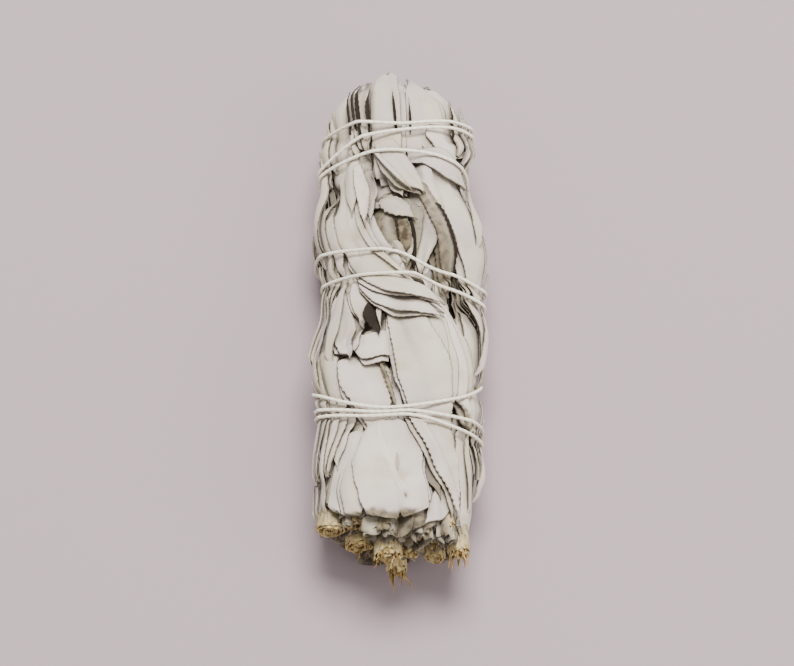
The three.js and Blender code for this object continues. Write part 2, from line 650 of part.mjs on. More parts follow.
// Torn fibres that stand out of a roughly cut stem.
function fibreSolids(index) {
  const { radius, out, fibres } = SPRIGS[index];
  const random = seeded(300 + index);
  return Array.from({ length: fibres }, (_, i) => {
    const angle = (i / fibres) * 2 * Math.PI + random();
    const length = 2.4 + 2.2 * random();
    const cone = new THREE.ConeGeometry(0.42, length + 1.5, 3);
    cone.rotateX(Math.PI);
    cone.translate(0, -(length - 1.5) / 2, 0);
    cone.rotateX(0.24 * (random() - 0.5));
    cone.rotateZ(0.24 * (random() - 0.5));
    const root = stemMiddle(-out, index);
    const ring = radius * 0.6;
    return solidOf(cone.translate(root.x + ring * Math.cos(angle), root.y, root.z + ring * Math.sin(angle)));
  });
}

// ---- String ----

const STRING_SIDES = 6;
const STEPS_PER_TURN = 14;
const KNOT_RADIUS = 1.4;

// The taut string rests on the highest leaves that it crosses.
function stringPoints(layer) {
  const count = Math.round((STRING_END - STRING_START) * STEPS_PER_TURN);
  const turnsAt = (i) => mix(STRING_START, STRING_END, i / count);
  const places = Array.from({ length: count + 1 }, (_, i) => [stringAlong(turnsAt(i)), 180 - 360 * turnsAt(i)]);
  const base = places.map(([along, theta]) => ground(along, theta, 1));
  let heights = base;
  for (let pass = 0; pass < 12; pass++) {
    heights = heights.map((height, i) => {
      const [before, after] = [heights[Math.max(i - 1, 0)], heights[Math.min(i + 1, count)]];
      return Math.max(base[i], (before + 2 * height + after) / 4);
    });
  }
  return places.map(([along, theta], i) => {
    const point = skinSpot(along, theta, heights[i] + STRING_RADIUS + layer);
    point.z = Math.max(point.z, STRING_RADIUS + 0.2);
    return point;
  });
}

function tubeSolid(points, radius, steps) {
  const ring = new THREE.Shape(
    Array.from({ length: STRING_SIDES }, (_, i) => {
      const angle = (i / STRING_SIDES) * 2 * Math.PI;
      return new THREE.Vector2(radius * Math.cos(angle), radius * Math.sin(angle));
    }),
  );
  const path = new THREE.CatmullRomCurve3(points);
  return solidOf(new THREE.ExtrudeGeometry(ring, { steps, bevelEnabled: false, extrudePath: path }));
}

// ---- Assembly ----

const bunch = new THREE.Group();
const leafMaterial = new THREE.MeshStandardMaterial({ color: 0xd2cdc3, roughness: 0.95, metalness: 0 });
const stemMaterial = new THREE.MeshStandardMaterial({ color: 0xb59a63, roughness: 0.9, metalness: 0 });
const stringMaterial = new THREE.MeshStandardMaterial({ color: 0xf1ede4, roughness: 0.9, metalness: 0 });

function add(name, solid, material) {
  const mesh = new THREE.Mesh(geometryOf(solid), material);
  mesh.name = name;
  bunch.add(mesh);
}
const numbered = (index) => String(index + 1).padStart(2, "0");

const leaves = [...underLeaves(), ...TIP_LEAVES, ...backLeaves(), ...REST_LEAVES, ...FACE_LEAVES].map(lay);
const blades = leaves.map((leaf) => bladeSolid(leaf, 0));
const bladeRooms = leaves.map((leaf) => bladeSolid(leaf, ROOM));
const hearts = SPRIGS.map((_, index) => heartSolid(index, 0));
const heartRooms = SPRIGS.map((_, index) => heartSolid(index, ROOM));
const stemRooms = SPRIGS.map((_, index) => stemSolid(index, ROOM));

const route = stringPoints(1.2 * CLEARANCE);
const routeSteps = route.length - 1;
const knotSolids = (radius) =>
  [route[0], route[routeSteps]].map((point) =>
    solidOf(new THREE.IcosahedronGeometry(radius, 0).translate(point.x, point.y, Math.max(point.z, radius))),
  );
const stringWith = (radius, knotRadius) =>
  Manifold.union([tubeSolid(route, radius, routeSteps), ...knotSolids(knotRadius)]);
const stringRoom = stringWith(STRING_RADIUS + ROOM, KNOT_RADIUS + ROOM);
const underFloor = solidOf(new THREE.BoxGeometry(80, 200, 20).translate(0, 0, -10));

SPRIGS.forEach((_, index) => {
  const foreign = (after) => bladeRooms.filter((_, j) => j > after && leaves[j].sprig !== index);
  const otherHearts = heartRooms.filter((_, j) => j > index);
  const pieces = [cutBy(coreSolid(index), foreign(-1)), cutBy(hearts[index], [...otherHearts, ...foreign(-1)])];
  leaves.forEach((leaf, i) => {
    if (leaf.sprig === index) pieces.push(cutBy(blades[i], foreign(i)));
  });
  const whole = Manifold.union(pieces);
  const cut = largest(cutBy(whole, [...stemRooms, stringRoom, underFloor]));
  add(`sprig_${numbered(index)}_leaves`, cut, leafMaterial);
  const stem = Manifold.union([stemSolid(index, 0), ...fibreSolids(index)]);
  add(`sprig_${numbered(index)}_stem`, stem, stemMaterial);
});

add("string", stringWith(STRING_RADIUS, KNOT_RADIUS), stringMaterial);

export default bunch;
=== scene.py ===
"""A dried white sage bunch: twelve leafy sprigs squeezed together and bound by one wound cotton string.

Sizes are in millimetres and angles in degrees, until a mesh is written in metres.
"along" runs from the cut stems to the leaf tips, "theta" goes round the bundle from its right side over its top,
and "height" is how far something stands over the bundle's skin.
"""

import bmesh
import bpy
import numpy as np
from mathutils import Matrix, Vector


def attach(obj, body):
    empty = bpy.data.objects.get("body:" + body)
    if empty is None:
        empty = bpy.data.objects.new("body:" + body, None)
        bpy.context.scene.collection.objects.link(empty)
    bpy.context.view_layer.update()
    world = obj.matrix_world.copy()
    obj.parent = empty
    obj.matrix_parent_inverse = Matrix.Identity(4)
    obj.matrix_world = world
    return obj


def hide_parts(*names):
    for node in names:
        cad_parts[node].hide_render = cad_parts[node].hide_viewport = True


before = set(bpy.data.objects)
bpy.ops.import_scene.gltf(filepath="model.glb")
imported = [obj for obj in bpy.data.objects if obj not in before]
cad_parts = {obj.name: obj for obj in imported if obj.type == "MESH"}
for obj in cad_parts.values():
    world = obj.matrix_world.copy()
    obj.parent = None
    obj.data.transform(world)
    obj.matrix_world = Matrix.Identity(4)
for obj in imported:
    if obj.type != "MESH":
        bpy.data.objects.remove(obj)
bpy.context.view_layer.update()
MM = 0.001

# ======================================================================
# Stems
# The woody lower ends of twelve sprigs, snapped or snipped off. A thin grey bark wraps rings of straw-coloured wood
# round a soft pith, and the tough outer fibres of some tore out long. The leaves and the string hold them together.
# ======================================================================

# What carries everything is the bundle: the sprigs are laid side by side, squeezed round while fresh, then bound and
# dried. It is roundish, a little flat, and has a waist under each turn of string.
HALF_WIDTH = 17.3
HEIGHT_SHARE = 0.81  # its height as a share of its width
MIDDLE_ALONG = 48.4  # the place along it that stands over the frame's origin


def curve_through(knots):
    """A smooth curve through (position, value) knots, flat beyond its two ends."""
    places, values = np.array(knots, float).T
    slopes = np.empty_like(values)
    slopes[1:-1] = (values[2:] - values[:-2]) / (places[2:] - places[:-2])
    slopes[[0, -1]] = np.diff(values)[[0, -1]] / np.diff(places)[[0, -1]]

    def at(position):
        x = np.clip(position, places[0], places[-1])
        i = np.clip(np.searchsorted(places, x) - 1, 0, len(places) - 2)
        span = places[i + 1] - places[i]
        t = (x - places[i]) / span
        start, end = (2 * t**3 - 3 * t**2 + 1), (3 * t**2 - 2 * t**3)
        leave, arrive = (t**3 - 2 * t**2 + t) * span, (t**3 - t**2) * span
        return start * values[i] + leave * slopes[i] + end * values[i + 1] + arrive * slopes[i + 1]

    return at


# Along the bundle: its half width as a share, how far its middle sways sideways, and how high it lies.
fullness = curve_through([
    (-12, 1.03), (0, 1.02), (15, 0.985), (35, 0.995), (50, 1.0), (62, 0.985),
    (75, 0.91), (86, 0.89), (95, 0.94), (100, 0.88), (107, 0.66),
])
sway_at = curve_through([(-10, -1.5), (0, -1.5), (20, -1.2), (50, 0.0), (75, -0.4), (100, -0.8)])
axis_height_at = curve_through([(0, 13.5), (20, 13.5), (45, 13.25), (82, 12.1), (105, 12.1)])

# Where the string crosses the bundle, by the number of turns it has made from the left side.
STRING_START, STRING_END = -0.12, 7.62
string_along = curve_through([
    (-0.12, 26.5), (0, 25.6), (0.15, 23.6), (0.25, 22.9), (0.5, 21.6), (0.75, 24.6),
    (1, 27.0), (1.15, 24.7), (1.25, 23.8), (1.5, 24.6), (1.75, 29.5),
    (2, 32.0), (2.14, 26.4), (2.25, 24.8), (2.36, 27.0), (2.5, 34.8), (2.75, 47),
    (3, 56.0), (3.25, 53.9), (3.36, 52.6), (3.5, 51.0), (3.75, 56.5),
    (4, 62.6), (4.25, 59.2), (4.36, 55.6), (4.5, 55.3), (4.75, 69),
    (5, 80.6), (5.15, 83.4), (5.25, 83.9), (5.4, 81.8), (5.5, 79.8), (5.75, 80.4),
    (6, 82.2), (6.14, 85.8), (6.25, 88.9), (6.36, 90.2), (6.5, 89.6), (6.75, 90.2),
    (7, 91.2), (7.18, 90.2), (7.25, 90.4), (7.36, 91.8), (7.5, 91.8), (7.62, 90.4),
])


def away_from_string(along, theta):
    """How far along the bundle the nearest turn of string is."""
    part_turn = np.mod(180 - theta, 360) / 360
    nearest = np.full(np.broadcast(along, theta).shape, 1e3)
    for turn in range(-1, 8):
        turns = turn + part_turn
        away = np.abs(along - string_along(turns))
        nearest = np.where((turns >= STRING_START) & (turns <= STRING_END), np.minimum(nearest, away), nearest)
    return nearest


def placed(along, theta, across_x, across_z):
    """Squeezes a place of the cross-section where the string nips it, and puts it in the bundle."""
    underneath = np.maximum(-np.sin(np.radians(theta)), 0) ** 3
    nip = np.exp(-((away_from_string(along, theta) / 5) ** 2)) * (0.9 + 1.1 * underneath)
    squeeze = 1 - nip / (HALF_WIDTH * HEIGHT_SHARE)
    x = sway_at(along) + across_x * squeeze
    z = axis_height_at(along) + across_z * squeeze
    return np.stack(np.broadcast_arrays(x, along - MIDDLE_ALONG, z), axis=-1)


def flattened(theta):
    """The underside is pressed flatter than the face: its sides are pushed down, its lowest line stays."""
    below = np.maximum(-np.sin(np.radians(theta)), 0)
    return np.where(below > 0, 1.5 - 0.5 * below, 1)


# Each sprig is pressed into the room that its neighbours leave it, so its section is a many-sided cell.
# x and z in the cut end, stem radius, how far it sticks out, and how frayed it is (0 to 1)
SPRIGS = [
    (-12.2, 4.4, 2.9, -1.0, 0.0),
    (-7.0, 7.4, 2.2, -0.6, 0.0),
    (-3.0, 9.0, 1.5, 0.4, 0.0),
    (-6.4, 1.0, 2.8, 1.0, 0.3),
    (-0.8, 4.4, 2.7, 4.6, 1.0),
    (4.7, 6.6, 2.3, 1.4, 0.0),
    (3.6, 1.0, 2.2, 2.2, 0.3),
    (1.0, -3.6, 2.0, 4.2, 1.0),
    (8.4, -2.7, 2.1, 1.4, 0.0),
    (8.2, 2.4, 2.1, 0.8, 0.5),
    (13.0, 2.8, 2.2, 3.4, 1.0),
    (10.8, 6.6, 1.7, -0.8, 0.5),
]
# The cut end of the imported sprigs, the gap between two of them, how strongly each bulges outward, and along the
# bundle how deep under its skin they lie and how much lower.
CORE_HALF_WIDTH, CORE_HALF_HEIGHT = 15.4, 12.0
CORE_GAP = 0.5
LOBE = 1.5
core_depth = curve_through([(0, 2.2), (14, 3.6), (60, 4.0), (96, 4.0)])
core_drop = curve_through([(0, 0.2), (14, 0.8), (60, 0.8), (96, 0.6)])


def core_spot(along, x, z):
    """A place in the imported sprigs, given where it lies in the cut end."""
    share_x, share_z = x / CORE_HALF_WIDTH, z / CORE_HALF_HEIGHT
    half_width = HALF_WIDTH * fullness(along)
    theta = np.degrees(np.arctan2(share_z, share_x))
    return placed(
        along,
        theta,
        share_x * (half_width - core_depth(along)),
        share_z * (half_width * HEIGHT_SHARE - core_depth(along)) * flattened(theta) - core_drop(along),
    )


def clipped(polygon, normal, limit):
    """What is left of a polygon on the near side of a line."""
    kept = []
    for here, there in zip(polygon, polygon[1:] + polygon[:1]):
        out, out_next = here @ normal - limit, there @ normal - limit
        if out <= 0:
            kept.append(here)
        if (out <= 0) != (out_next <= 0):
            kept.append(here + (there - here) * out / (out - out_next))
    return kept


def cell_outline(index):
    """The many-sided outline of one sprig in the cut end, cut off half way to each neighbour."""
    x, z, radius = SPRIGS[index][:3]
    seed = np.array([x, z])
    facing = np.arctan2(z / CORE_HALF_HEIGHT, x / CORE_HALF_WIDTH)
    outline = []
    for angle in np.arange(16) / 16 * 2 * np.pi:
        strength = LOBE * (1.0 if np.hypot(x, z) > 6 else 0.2)
        reach = max(0.5, 1 - strength * (1 - np.cos(angle - facing)))
        outline.append(np.array([CORE_HALF_WIDTH * np.cos(angle), CORE_HALF_HEIGHT * np.sin(angle)]) * reach)
    for other_x, other_z, other_radius in (s[:3] for i, s in enumerate(SPRIGS) if i != index):
        away = np.array([other_x, other_z]) - seed
        far = np.hypot(*away)
        limit = (other_x**2 + other_z**2 - x**2 - z**2 - other_radius**2 + radius**2) / (2 * far)
        outline = clipped(outline, away / far, limit - CORE_GAP / 2)
    return outline


OUTLINES = [cell_outline(index) for index in range(len(SPRIGS))]


def round_outline(index, share):
    """Places round a sprig's outline, from 0 to 1 once round."""
    outline = np.array(OUTLINES[index] + OUTLINES[index][:1])
    at = share * (len(outline) - 1)
    return np.stack([np.interp(at, np.arange(len(outline)), outline[:, axis]) for axis in (0, 1)], axis=-1)


def linear(hex_colour):
    """The linear colour of an sRGB hex colour."""
    parts = [int(hex_colour[i : i + 2], 16) / 255 for i in (1, 3, 5)]
    return (*[c / 12.92 if c <= 0.04045 else ((c + 0.055) / 1.055) ** 2.4 for c in parts], 1.0)


def new_material(name, roughness, specular=0.5):
    material = bpy.data.materials.new(name)
    material.use_nodes = True
    shader = material.node_tree.nodes["Principled BSDF"]
    shader.inputs["Roughness"].default_value = roughness
    shader.inputs["Specular IOR Level"].default_value = specular
    return material, material.node_tree, shader


def node(tree, kind, settings=None, **inputs):
    """Adds a shader node. An input, named or numbered as i0, is a value or another node's output."""
    made = tree.nodes.new(kind)
    for key, value in (settings or {}).items():
        setattr(made, key, value)
    for key, value in inputs.items():
        socket = made.inputs[int(key[1:]) if key[1:].isdigit() else key]
        if isinstance(value, bpy.types.NodeSocket):
            tree.links.new(value, socket)
        else:
            socket.default_value = value
    return made


def attribute(tree, name):
    return node(tree, "ShaderNodeAttribute", {"attribute_name": name}).outputs["Fac"]


def noise(tree, place, scale, detail):
    """Cloudy spots on a piece's own place in metres: a scale of 1000 makes them 1 mm across."""
    return node(tree, "ShaderNodeTexNoise", Vector=place, Scale=scale, Detail=detail).outputs["Fac"]


def openness(tree, reach, samples):
    """How open a place is: 1 on a free face, towards 0 in a gap narrower than the reach in metres."""
    return node(tree, "ShaderNodeAmbientOcclusion", {"samples": samples}, Distance=reach).outputs["AO"]


def mixed(tree, share, first, second):
    return node(tree, "ShaderNodeMix", {"data_type": "RGBA"}, i0=share, i6=first, i7=second).outputs[2]


def ramp(tree, value, low, high):
    """A smooth rise from 0 at the first value to 1 at the second."""
    smooth = {"interpolation_type": "SMOOTHSTEP"}
    return node(tree, "ShaderNodeMapRange", smooth, i0=value, i1=low, i2=high).outputs[0]


def maths(tree, operation, first, second):
    return node(tree, "ShaderNodeMath", {"operation": operation}, i0=first, i1=second).outputs[0]


def stained_or_shaded(tree, colour, share, hex_colour, strength=1.0):
    """Lays one more colour over a colour, where and as strongly as the share says: a stain, or painted shade."""
    return mixed(tree, maths(tree, "MULTIPLY", share, strength), colour, linear(hex_colour))


def finish_surface(tree, shader, colour, relief, strength, depth):
    """Gives the shader its colour, and its relief as deep as given in metres."""
    tree.links.new(colour, shader.inputs["Base Color"])
    bump = node(tree, "ShaderNodeBump", Height=relief, Strength=strength, Distance=depth)
    tree.links.new(bump.outputs[0], shader.inputs["Normal"])


def rolled_grid(bm, rows, sides, place, tags=None):
    """Adds a grid rolled up into a closed tube. place(i, k) puts each vertex: i along it, k round it."""
    tags = tags or {}
    layers = {name: bm.verts.layers.float.get(name) or bm.verts.layers.float.new(name) for name in tags}
    made = bmesh.ops.create_grid(bm, x_segments=rows, y_segments=sides, size=0.5)["verts"]
    i = np.rint([(v.co.x + 0.5) * rows for v in made]).astype(int)
    k = np.rint([(v.co.y + 0.5) * sides for v in made]).astype(int)
    for vertex, spot in zip(made, place(i, k) * MM):
        vertex.co = spot
    for name, values in tags.items():
        for vertex, value in zip(made, np.broadcast_to(values(i, k) if callable(values) else values, i.shape)):
            vertex[layers[name]] = float(value)
    bmesh.ops.remove_doubles(bm, verts=made, dist=1e-7)


def finished(name, bm, materials, node_name):
    """Makes the mesh a piece that stands in for one of the solids."""
    bmesh.ops.recalc_face_normals(bm, faces=bm.faces)
    for face in bm.faces:
        face.smooth = True
    mesh = bpy.data.meshes.new(name)
    bm.to_mesh(mesh)
    bm.free()
    for material in materials:
        mesh.materials.append(material)
    piece = bpy.data.objects.new(name, mesh)
    bpy.context.scene.collection.objects.link(piece)
    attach(piece, "root")
    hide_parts(node_name)


GATHERED = 14  # up to here from the cut end a stem runs from where it was cut to its sprig's middle


def stem_middle(along, index):
    """The middle of a stem: outside where it was cut, further in where its sprig's cell has its middle."""
    x, z = SPRIGS[index][:2]
    middle = np.mean(OUTLINES[index], axis=0)
    t = np.clip(along / GATHERED, 0, 1)
    t = t * t * (3 - 2 * t)
    return core_spot(along, x + (middle[0] - x) * t, z + (middle[1] - z) * t)


def round_stem(along, index, radius, angle):
    """A place at a radius round the middle of a stem."""
    spot = stem_middle(along, index)
    spot[..., 0] += radius * np.cos(angle)
    spot[..., 2] += radius * np.sin(angle)
    return spot


# Dry stem: dull and fibrous, so it has no gloss, and long streaks of light and dark run along it.
dry_stem, tree, shader = new_material("dry stem", roughness=0.85, specular=0.2)
place_m = node(tree, "ShaderNodeTexCoord").outputs["Object"]
grain = node(tree, "ShaderNodeMapping", Vector=place_m, Scale=(1.0, 0.12, 1.0)).outputs[0]
streaks = noise(tree, grain, 2200.0, 4.0)
spots = noise(tree, place_m, 1400.0, 3.0)
bark_colour = mixed(tree, ramp(tree, streaks, 0.3, 0.7), linear("#ae9e7c"), linear("#7b6c4c"))
wood_colour = mixed(tree, ramp(tree, spots, 0.35, 0.65), linear("#e3cd98"), linear("#98804d"))
amber_colour = mixed(tree, ramp(tree, streaks, 0.35, 0.65), linear("#a47c3e"), linear("#6d4c20"))
colour = mixed(tree, attribute(tree, "wood"), bark_colour, wood_colour)
colour = mixed(tree, attribute(tree, "amber"), colour, amber_colour)
# Painted shade in narrow gaps between the fibres and round the stems.
colour = stained_or_shaded(tree, colour, ramp(tree, openness(tree, 0.0014, 6), 0.72, 0.12), "#43311b")
finish_surface(tree, shader, colour, streaks, 0.6, 0.0002)


def sleeve(bm, rng, index, outer, inner, start, end, jag, sides, wood):
    """Adds a thin-walled tube round a stem's middle, torn at its open end."""
    angle = np.linspace(0, 2 * np.pi, sides + 1)
    ridges = 0.035 * np.sin(5 * angle + rng.random() * 6) + 0.03 * np.sin(9 * angle + rng.random() * 6)
    teeth = rng.random(sides) ** 1.6 * jag + np.sin(angle[:-1] * 2 + rng.random() * 6) * jag * 0.4
    teeth = np.append(teeth, teeth[0])
    flare = (rng.random(sides) - 0.3) * 0.22
    flare = np.append(flare, flare[0])
    shares = np.array([0, 0.35, 0.7, 0.88, 1.0, 1.0, 0.88, 0.6, 0.2])
    walls = np.array([outer, outer, outer, outer, outer * 0.97, inner * 1.03, inner, inner, inner])

    def put(i, k):
        along = start + (end + teeth[k] - start) * shares[i]
        wall = walls[i] * (1 + ridges[k]) + flare[k] * (shares[i] > 0.95)
        return round_stem(along, index, wall, angle[k])

    tags = {"wood": lambda i, k: np.clip(wood + (shares[i] > 0.95) * 0.7 + (i > 4) * 0.6, 0, 1),
            "amber": lambda i, k: 0.25 * (shares[i] > 0.95) * wood}
    rolled_grid(bm, len(shares) - 1, sides, put, tags)


def splinter(bm, rng, root, way, length, thickness, amber):
    """Adds one torn fibre: a thin bent strand that runs to a point."""
    way = way / np.linalg.norm(way)
    side = np.cross(way, [0.3, 0.2, 1.0])
    side /= np.linalg.norm(side)
    up = np.cross(side, way)
    bend = (rng.random(2) - 0.5) * 0.5 * length
    angle = np.array([0, 2.1, 4.2, 2 * np.pi])
    far = np.array([0, 0.35, 0.7, 1.0])
    thin = np.array([1, 0.9, 0.6, 0.05]) * thickness

    def put(i, k):
        middle = root + np.outer(far[i] * length, way) + np.outer(far[i] ** 2 * bend[0], side)
        middle = middle + np.outer(far[i] ** 2 * bend[1], up)
        return middle + (thin[i] * np.cos(angle[k]))[:, None] * side + (thin[i] * np.sin(angle[k]))[:, None] * up

    rolled_grid(bm, 3, 3, put, {"wood": 1.0, "amber": amber})


def sideways(rng):
    """A chance way out of a stem's side."""
    angle = rng.random() * 2 * np.pi
    return np.array([np.cos(angle), 0, np.sin(angle)])


# Two long straws hang from one of the lowest stems.
STRAWS = {7: [(-0.12, -1.0, -0.1), (0.3, -1.0, -0.12)]}

for index, (x, z, radius, out, frayed) in enumerate(SPRIGS):
    rng = np.random.default_rng(40 + index)
    bm = bmesh.new()
    end = -out
    sleeve(bm, rng, index, radius, radius * 0.84, 16.0, end + 0.4, 0.25 + 0.5 * frayed, 40, 0.0)
    sleeve(bm, rng, index, radius * 0.82, radius * 0.70, 12.0, end - 0.1, 0.4 + 0.6 * frayed, 36, 1.0)
    sleeve(bm, rng, index, radius * 0.67, radius * 0.56, 12.0, end + 0.3, 0.5, 30, 0.8)
    sleeve(bm, rng, index, radius * 0.53, radius * 0.40, 12.0, end - 0.1, 0.5, 24, 1.0)
    sleeve(bm, rng, index, radius * 0.36, 0.02, 12.0, end + 0.7, 0.5, 16, 0.6)

    def shaft(i, k):
        along = np.array([10.0, 10, 14, 44, 74, 74])[i]
        across = np.array([0, 0.72, 0.58, 0.44, 0.3, 0])[i] * radius
        return round_stem(along, index, across, k / 10 * 2 * np.pi)

    rolled_grid(bm, 5, 10, shaft, {"wood": 0.0, "amber": 0.0})
    for _ in range(14):
        outward = sideways(rng)
        root = stem_middle(np.array(end + 0.9), index) + radius * np.sqrt(rng.random()) * 0.86 * outward
        way = np.array([0, -1.0, 0]) + outward * 0.3 * rng.random() + (rng.random(3) - 0.5) * 0.9
        splinter(bm, rng, root, way, 0.6 + 0.6 * rng.random(), 0.1 + 0.12 * rng.random(), 0.25 * rng.random())
    for _ in range(int(20 * frayed)):
        outward = sideways(rng)
        root = stem_middle(np.array(end + 1.0), index) + radius * (0.5 + 0.4 * rng.random()) * outward
        way = np.array([0, -1.0, 0]) + outward * 0.2 * rng.random() + (rng.random(3) - 0.5) * 0.22
        length = 1.5 + 0.8 * rng.random() + frayed * 2.2 * rng.random() ** 1.5
        splinter(bm, rng, root, way, length, 0.1 + 0.14 * rng.random(), 0.4 + 0.6 * rng.random())
    for way in STRAWS.get(index, []):
        root = stem_middle(np.array(end + 1.5), index) + radius * 0.6 * np.array([way[0] * 3, 0, -0.6])
        splinter(bm, rng, root, np.array(way), 5.4, 0.24, 0.9)
    finished(f"stem_{index + 1:02d}", bm, [dry_stem], f"sprig_{index + 1:02d}_stem")

# ======================================================================
# Leaves
# Dried leaves felted on both sides with fine white hair, so they are stiff and matt like thick paper. They grow from
# the sprigs, were laid along the stems while soft, and dried pressed, folded and creased under the string.
# ======================================================================

# Felted leaf: matt and nearly white, with no gloss; thin dark lines of painted shade stand in every gap between two
# leaves.
felted_leaf, tree, shader = new_material("felted leaf", roughness=0.92, specular=0.12)
shader.inputs["Sheen Weight"].default_value = 0.15
shader.inputs["Sheen Roughness"].default_value = 0.5
place_m = node(tree, "ShaderNodeTexCoord").outputs["Object"]
blotch, specks = noise(tree, place_m, 170.0, 4.0), noise(tree, place_m, 1500.0, 3.0)
cloud, crinkle = noise(tree, place_m, 70.0, 2.0), noise(tree, place_m, 620.0, 5.0)
vein, buried = attribute(tree, "vein"), attribute(tree, "buried")
colour = mixed(tree, attribute(tree, "tint"), linear("#c7baaf"), linear("#b9af99"))
colour = stained_or_shaded(tree, colour, ramp(tree, cloud, 0.42, 0.66), "#a99d9b", 0.5)
colour = stained_or_shaded(tree, colour, ramp(tree, blotch, 0.46, 0.76), "#a89b83", 0.65)
colour = stained_or_shaded(tree, colour, ramp(tree, specks, 0.66, 0.78), "#8d8570", 0.25)
colour = stained_or_shaded(tree, colour, ramp(tree, vein, 0.9, 1.0), "#ddd5ca", 0.45)
# A leaf that dried brown, then painted shade: a shadow line along each leaf's edge, the shade of narrow gaps, and the
# shade on what lies under other leaves.
dry_colour = mixed(tree, ramp(tree, crinkle, 0.38, 0.62), linear("#72654e"), linear("#3d3425"))
colour = mixed(tree, attribute(tree, "dry"), colour, dry_colour)
# Painted shadow line just inside each leaf's edge, broken here and there.
rim = maths(tree, "MULTIPLY", ramp(tree, attribute(tree, "rim"), 0.28, 0.06), ramp(tree, specks, 0.2, 0.55))
colour = stained_or_shaded(tree, colour, rim, "#5f543e", 0.75)
# Painted shade in narrow gaps between leaves.
colour = stained_or_shaded(tree, colour, ramp(tree, openness(tree, 0.0015, 8), 0.64, 0.08), "#5a4f3c")
# Painted shade on what lies under other leaves, darkest on the deep sheets and the inner mass.
colour = stained_or_shaded(tree, colour, buried, "#544937")
colour = stained_or_shaded(tree, colour, ramp(tree, buried, 0.8, 1.0), "#211a12")
# The relief is felt, a net of fine veins and the ribs.
felt = noise(tree, place_m, 4000.0, 3.0)
net = node(tree, "ShaderNodeTexVoronoi", {"feature": "DISTANCE_TO_EDGE"}, Vector=place_m, Scale=900.0)
net_and_ribs = maths(tree, "ADD", net.outputs["Distance"], ramp(tree, vein, 0.86, 1.0))
relief = maths(tree, "ADD", maths(tree, "MULTIPLY", felt, 0.5), net_and_ribs)
finish_surface(tree, shader, colour, relief, 0.4, 0.00012)


def skin_spot(along, theta, height):
    """A place at a height over the bundle's skin."""
    half_width = HALF_WIDTH * fullness(along)
    x = (half_width + height) * np.cos(np.radians(theta))
    z = (half_width * HEIGHT_SHARE + height) * np.sin(np.radians(theta)) * flattened(theta)
    return placed(along, theta, x, z)


def core_rim():
    """For each degree round the core: how far it reaches, as a share of its ellipse, and which sprig is there."""
    shares = 1 - 0.02 * np.arange(50)
    angle = np.radians(np.arange(360))[:, None]
    x, z = shares * CORE_HALF_WIDTH * np.cos(angle), shares * CORE_HALF_HEIGHT * np.sin(angle)
    owner = np.full(x.shape, -1)
    for index in reversed(range(len(SPRIGS))):
        within = np.ones(x.shape, bool)
        for here, there in zip(OUTLINES[index], OUTLINES[index][1:] + OUTLINES[index][:1]):
            within &= (there[0] - here[0]) * (z - here[1]) - (there[1] - here[1]) * (x - here[0]) >= 0
        owner[within] = index
    first = np.argmax(owner >= 0, axis=1)
    return shares[first], owner[np.arange(360), first]


RIM_SHARE, RIM_SPRIG = core_rim()

# The leaves of the solids are laid first, on a coarse map of heights over the skin, with a gap under each.
LEAF_THICKNESS = 0.62
CLEARANCE = 0.3
MAP_START, MAP_END, MAP_COLUMNS = -6, 108, 120
MAP_ROWS = MAP_END - MAP_START + 1
COLUMN_STEP = 360 / MAP_COLUMNS
COLUMN_WIDTH = 2 * np.pi * HALF_WIDTH * 0.9 / MAP_COLUMNS

rows, turns_round = np.arange(MAP_ROWS) + MAP_START, np.arange(MAP_COLUMNS) * 3
missing = (1 - RIM_SHARE[turns_round]) * (HALF_WIDTH * HEIGHT_SHARE * fullness(rows) - core_depth(rows))[:, None]
core_map = -core_depth(rows)[:, None] - missing - core_drop(rows)[:, None] * np.sin(np.radians(turns_round))
height_map = core_map.copy()
owner_map = np.tile(RIM_SPRIG[turns_round], (MAP_ROWS, 1))


def half_up(value):
    return np.floor(value + 0.5).astype(int)


def ground(along, theta, reach):
    """The highest that the map has within a reach of a place."""
    row, column = half_up(along - MAP_START), half_up(theta / COLUMN_STEP)
    rows_off, columns_off = int(half_up(reach)), int(half_up(reach / COLUMN_WIDTH))
    highest = np.full(np.shape(row), -np.inf)
    for r in range(-rows_off, rows_off + 1):
        inside = (row + r >= 0) & (row + r < MAP_ROWS)
        for c in range(-columns_off, columns_off + 1):
            there = height_map[np.clip(row + r, 0, MAP_ROWS - 1), (column + c) % MAP_COLUMNS]
            highest = np.where(inside, np.maximum(highest, there), highest)
    return highest


def map_slot(along, theta):
    return np.clip(half_up(along - MAP_START), 0, MAP_ROWS - 1), half_up(theta / COLUMN_STEP) % MAP_COLUMNS


def seeded(seed):
    """A repeatable row of random numbers from 0 to 1."""
    state = seed

    def draw():
        nonlocal state
        state = (state * 1664525 + 1013904223) % 2**32
        return state / 2**32

    return draw


def leaf(root, tip, width, **more):
    """What is asked of a leaf: where it is rooted and where its tip lies, as (along, theta), and how wide it is."""
    plain = dict(bow=0.0, folded=False, lift=0.0, short=False, blunt=False, square=False, torn=0.0, trim=0.0,
                 narrow=1.0, turn=0, single=False, dry=0.0, cup=0.0, deep=0.0, rib=None, beneath=None)
    return {"root": root, "tip": tip, "width": width, **plain, **more}


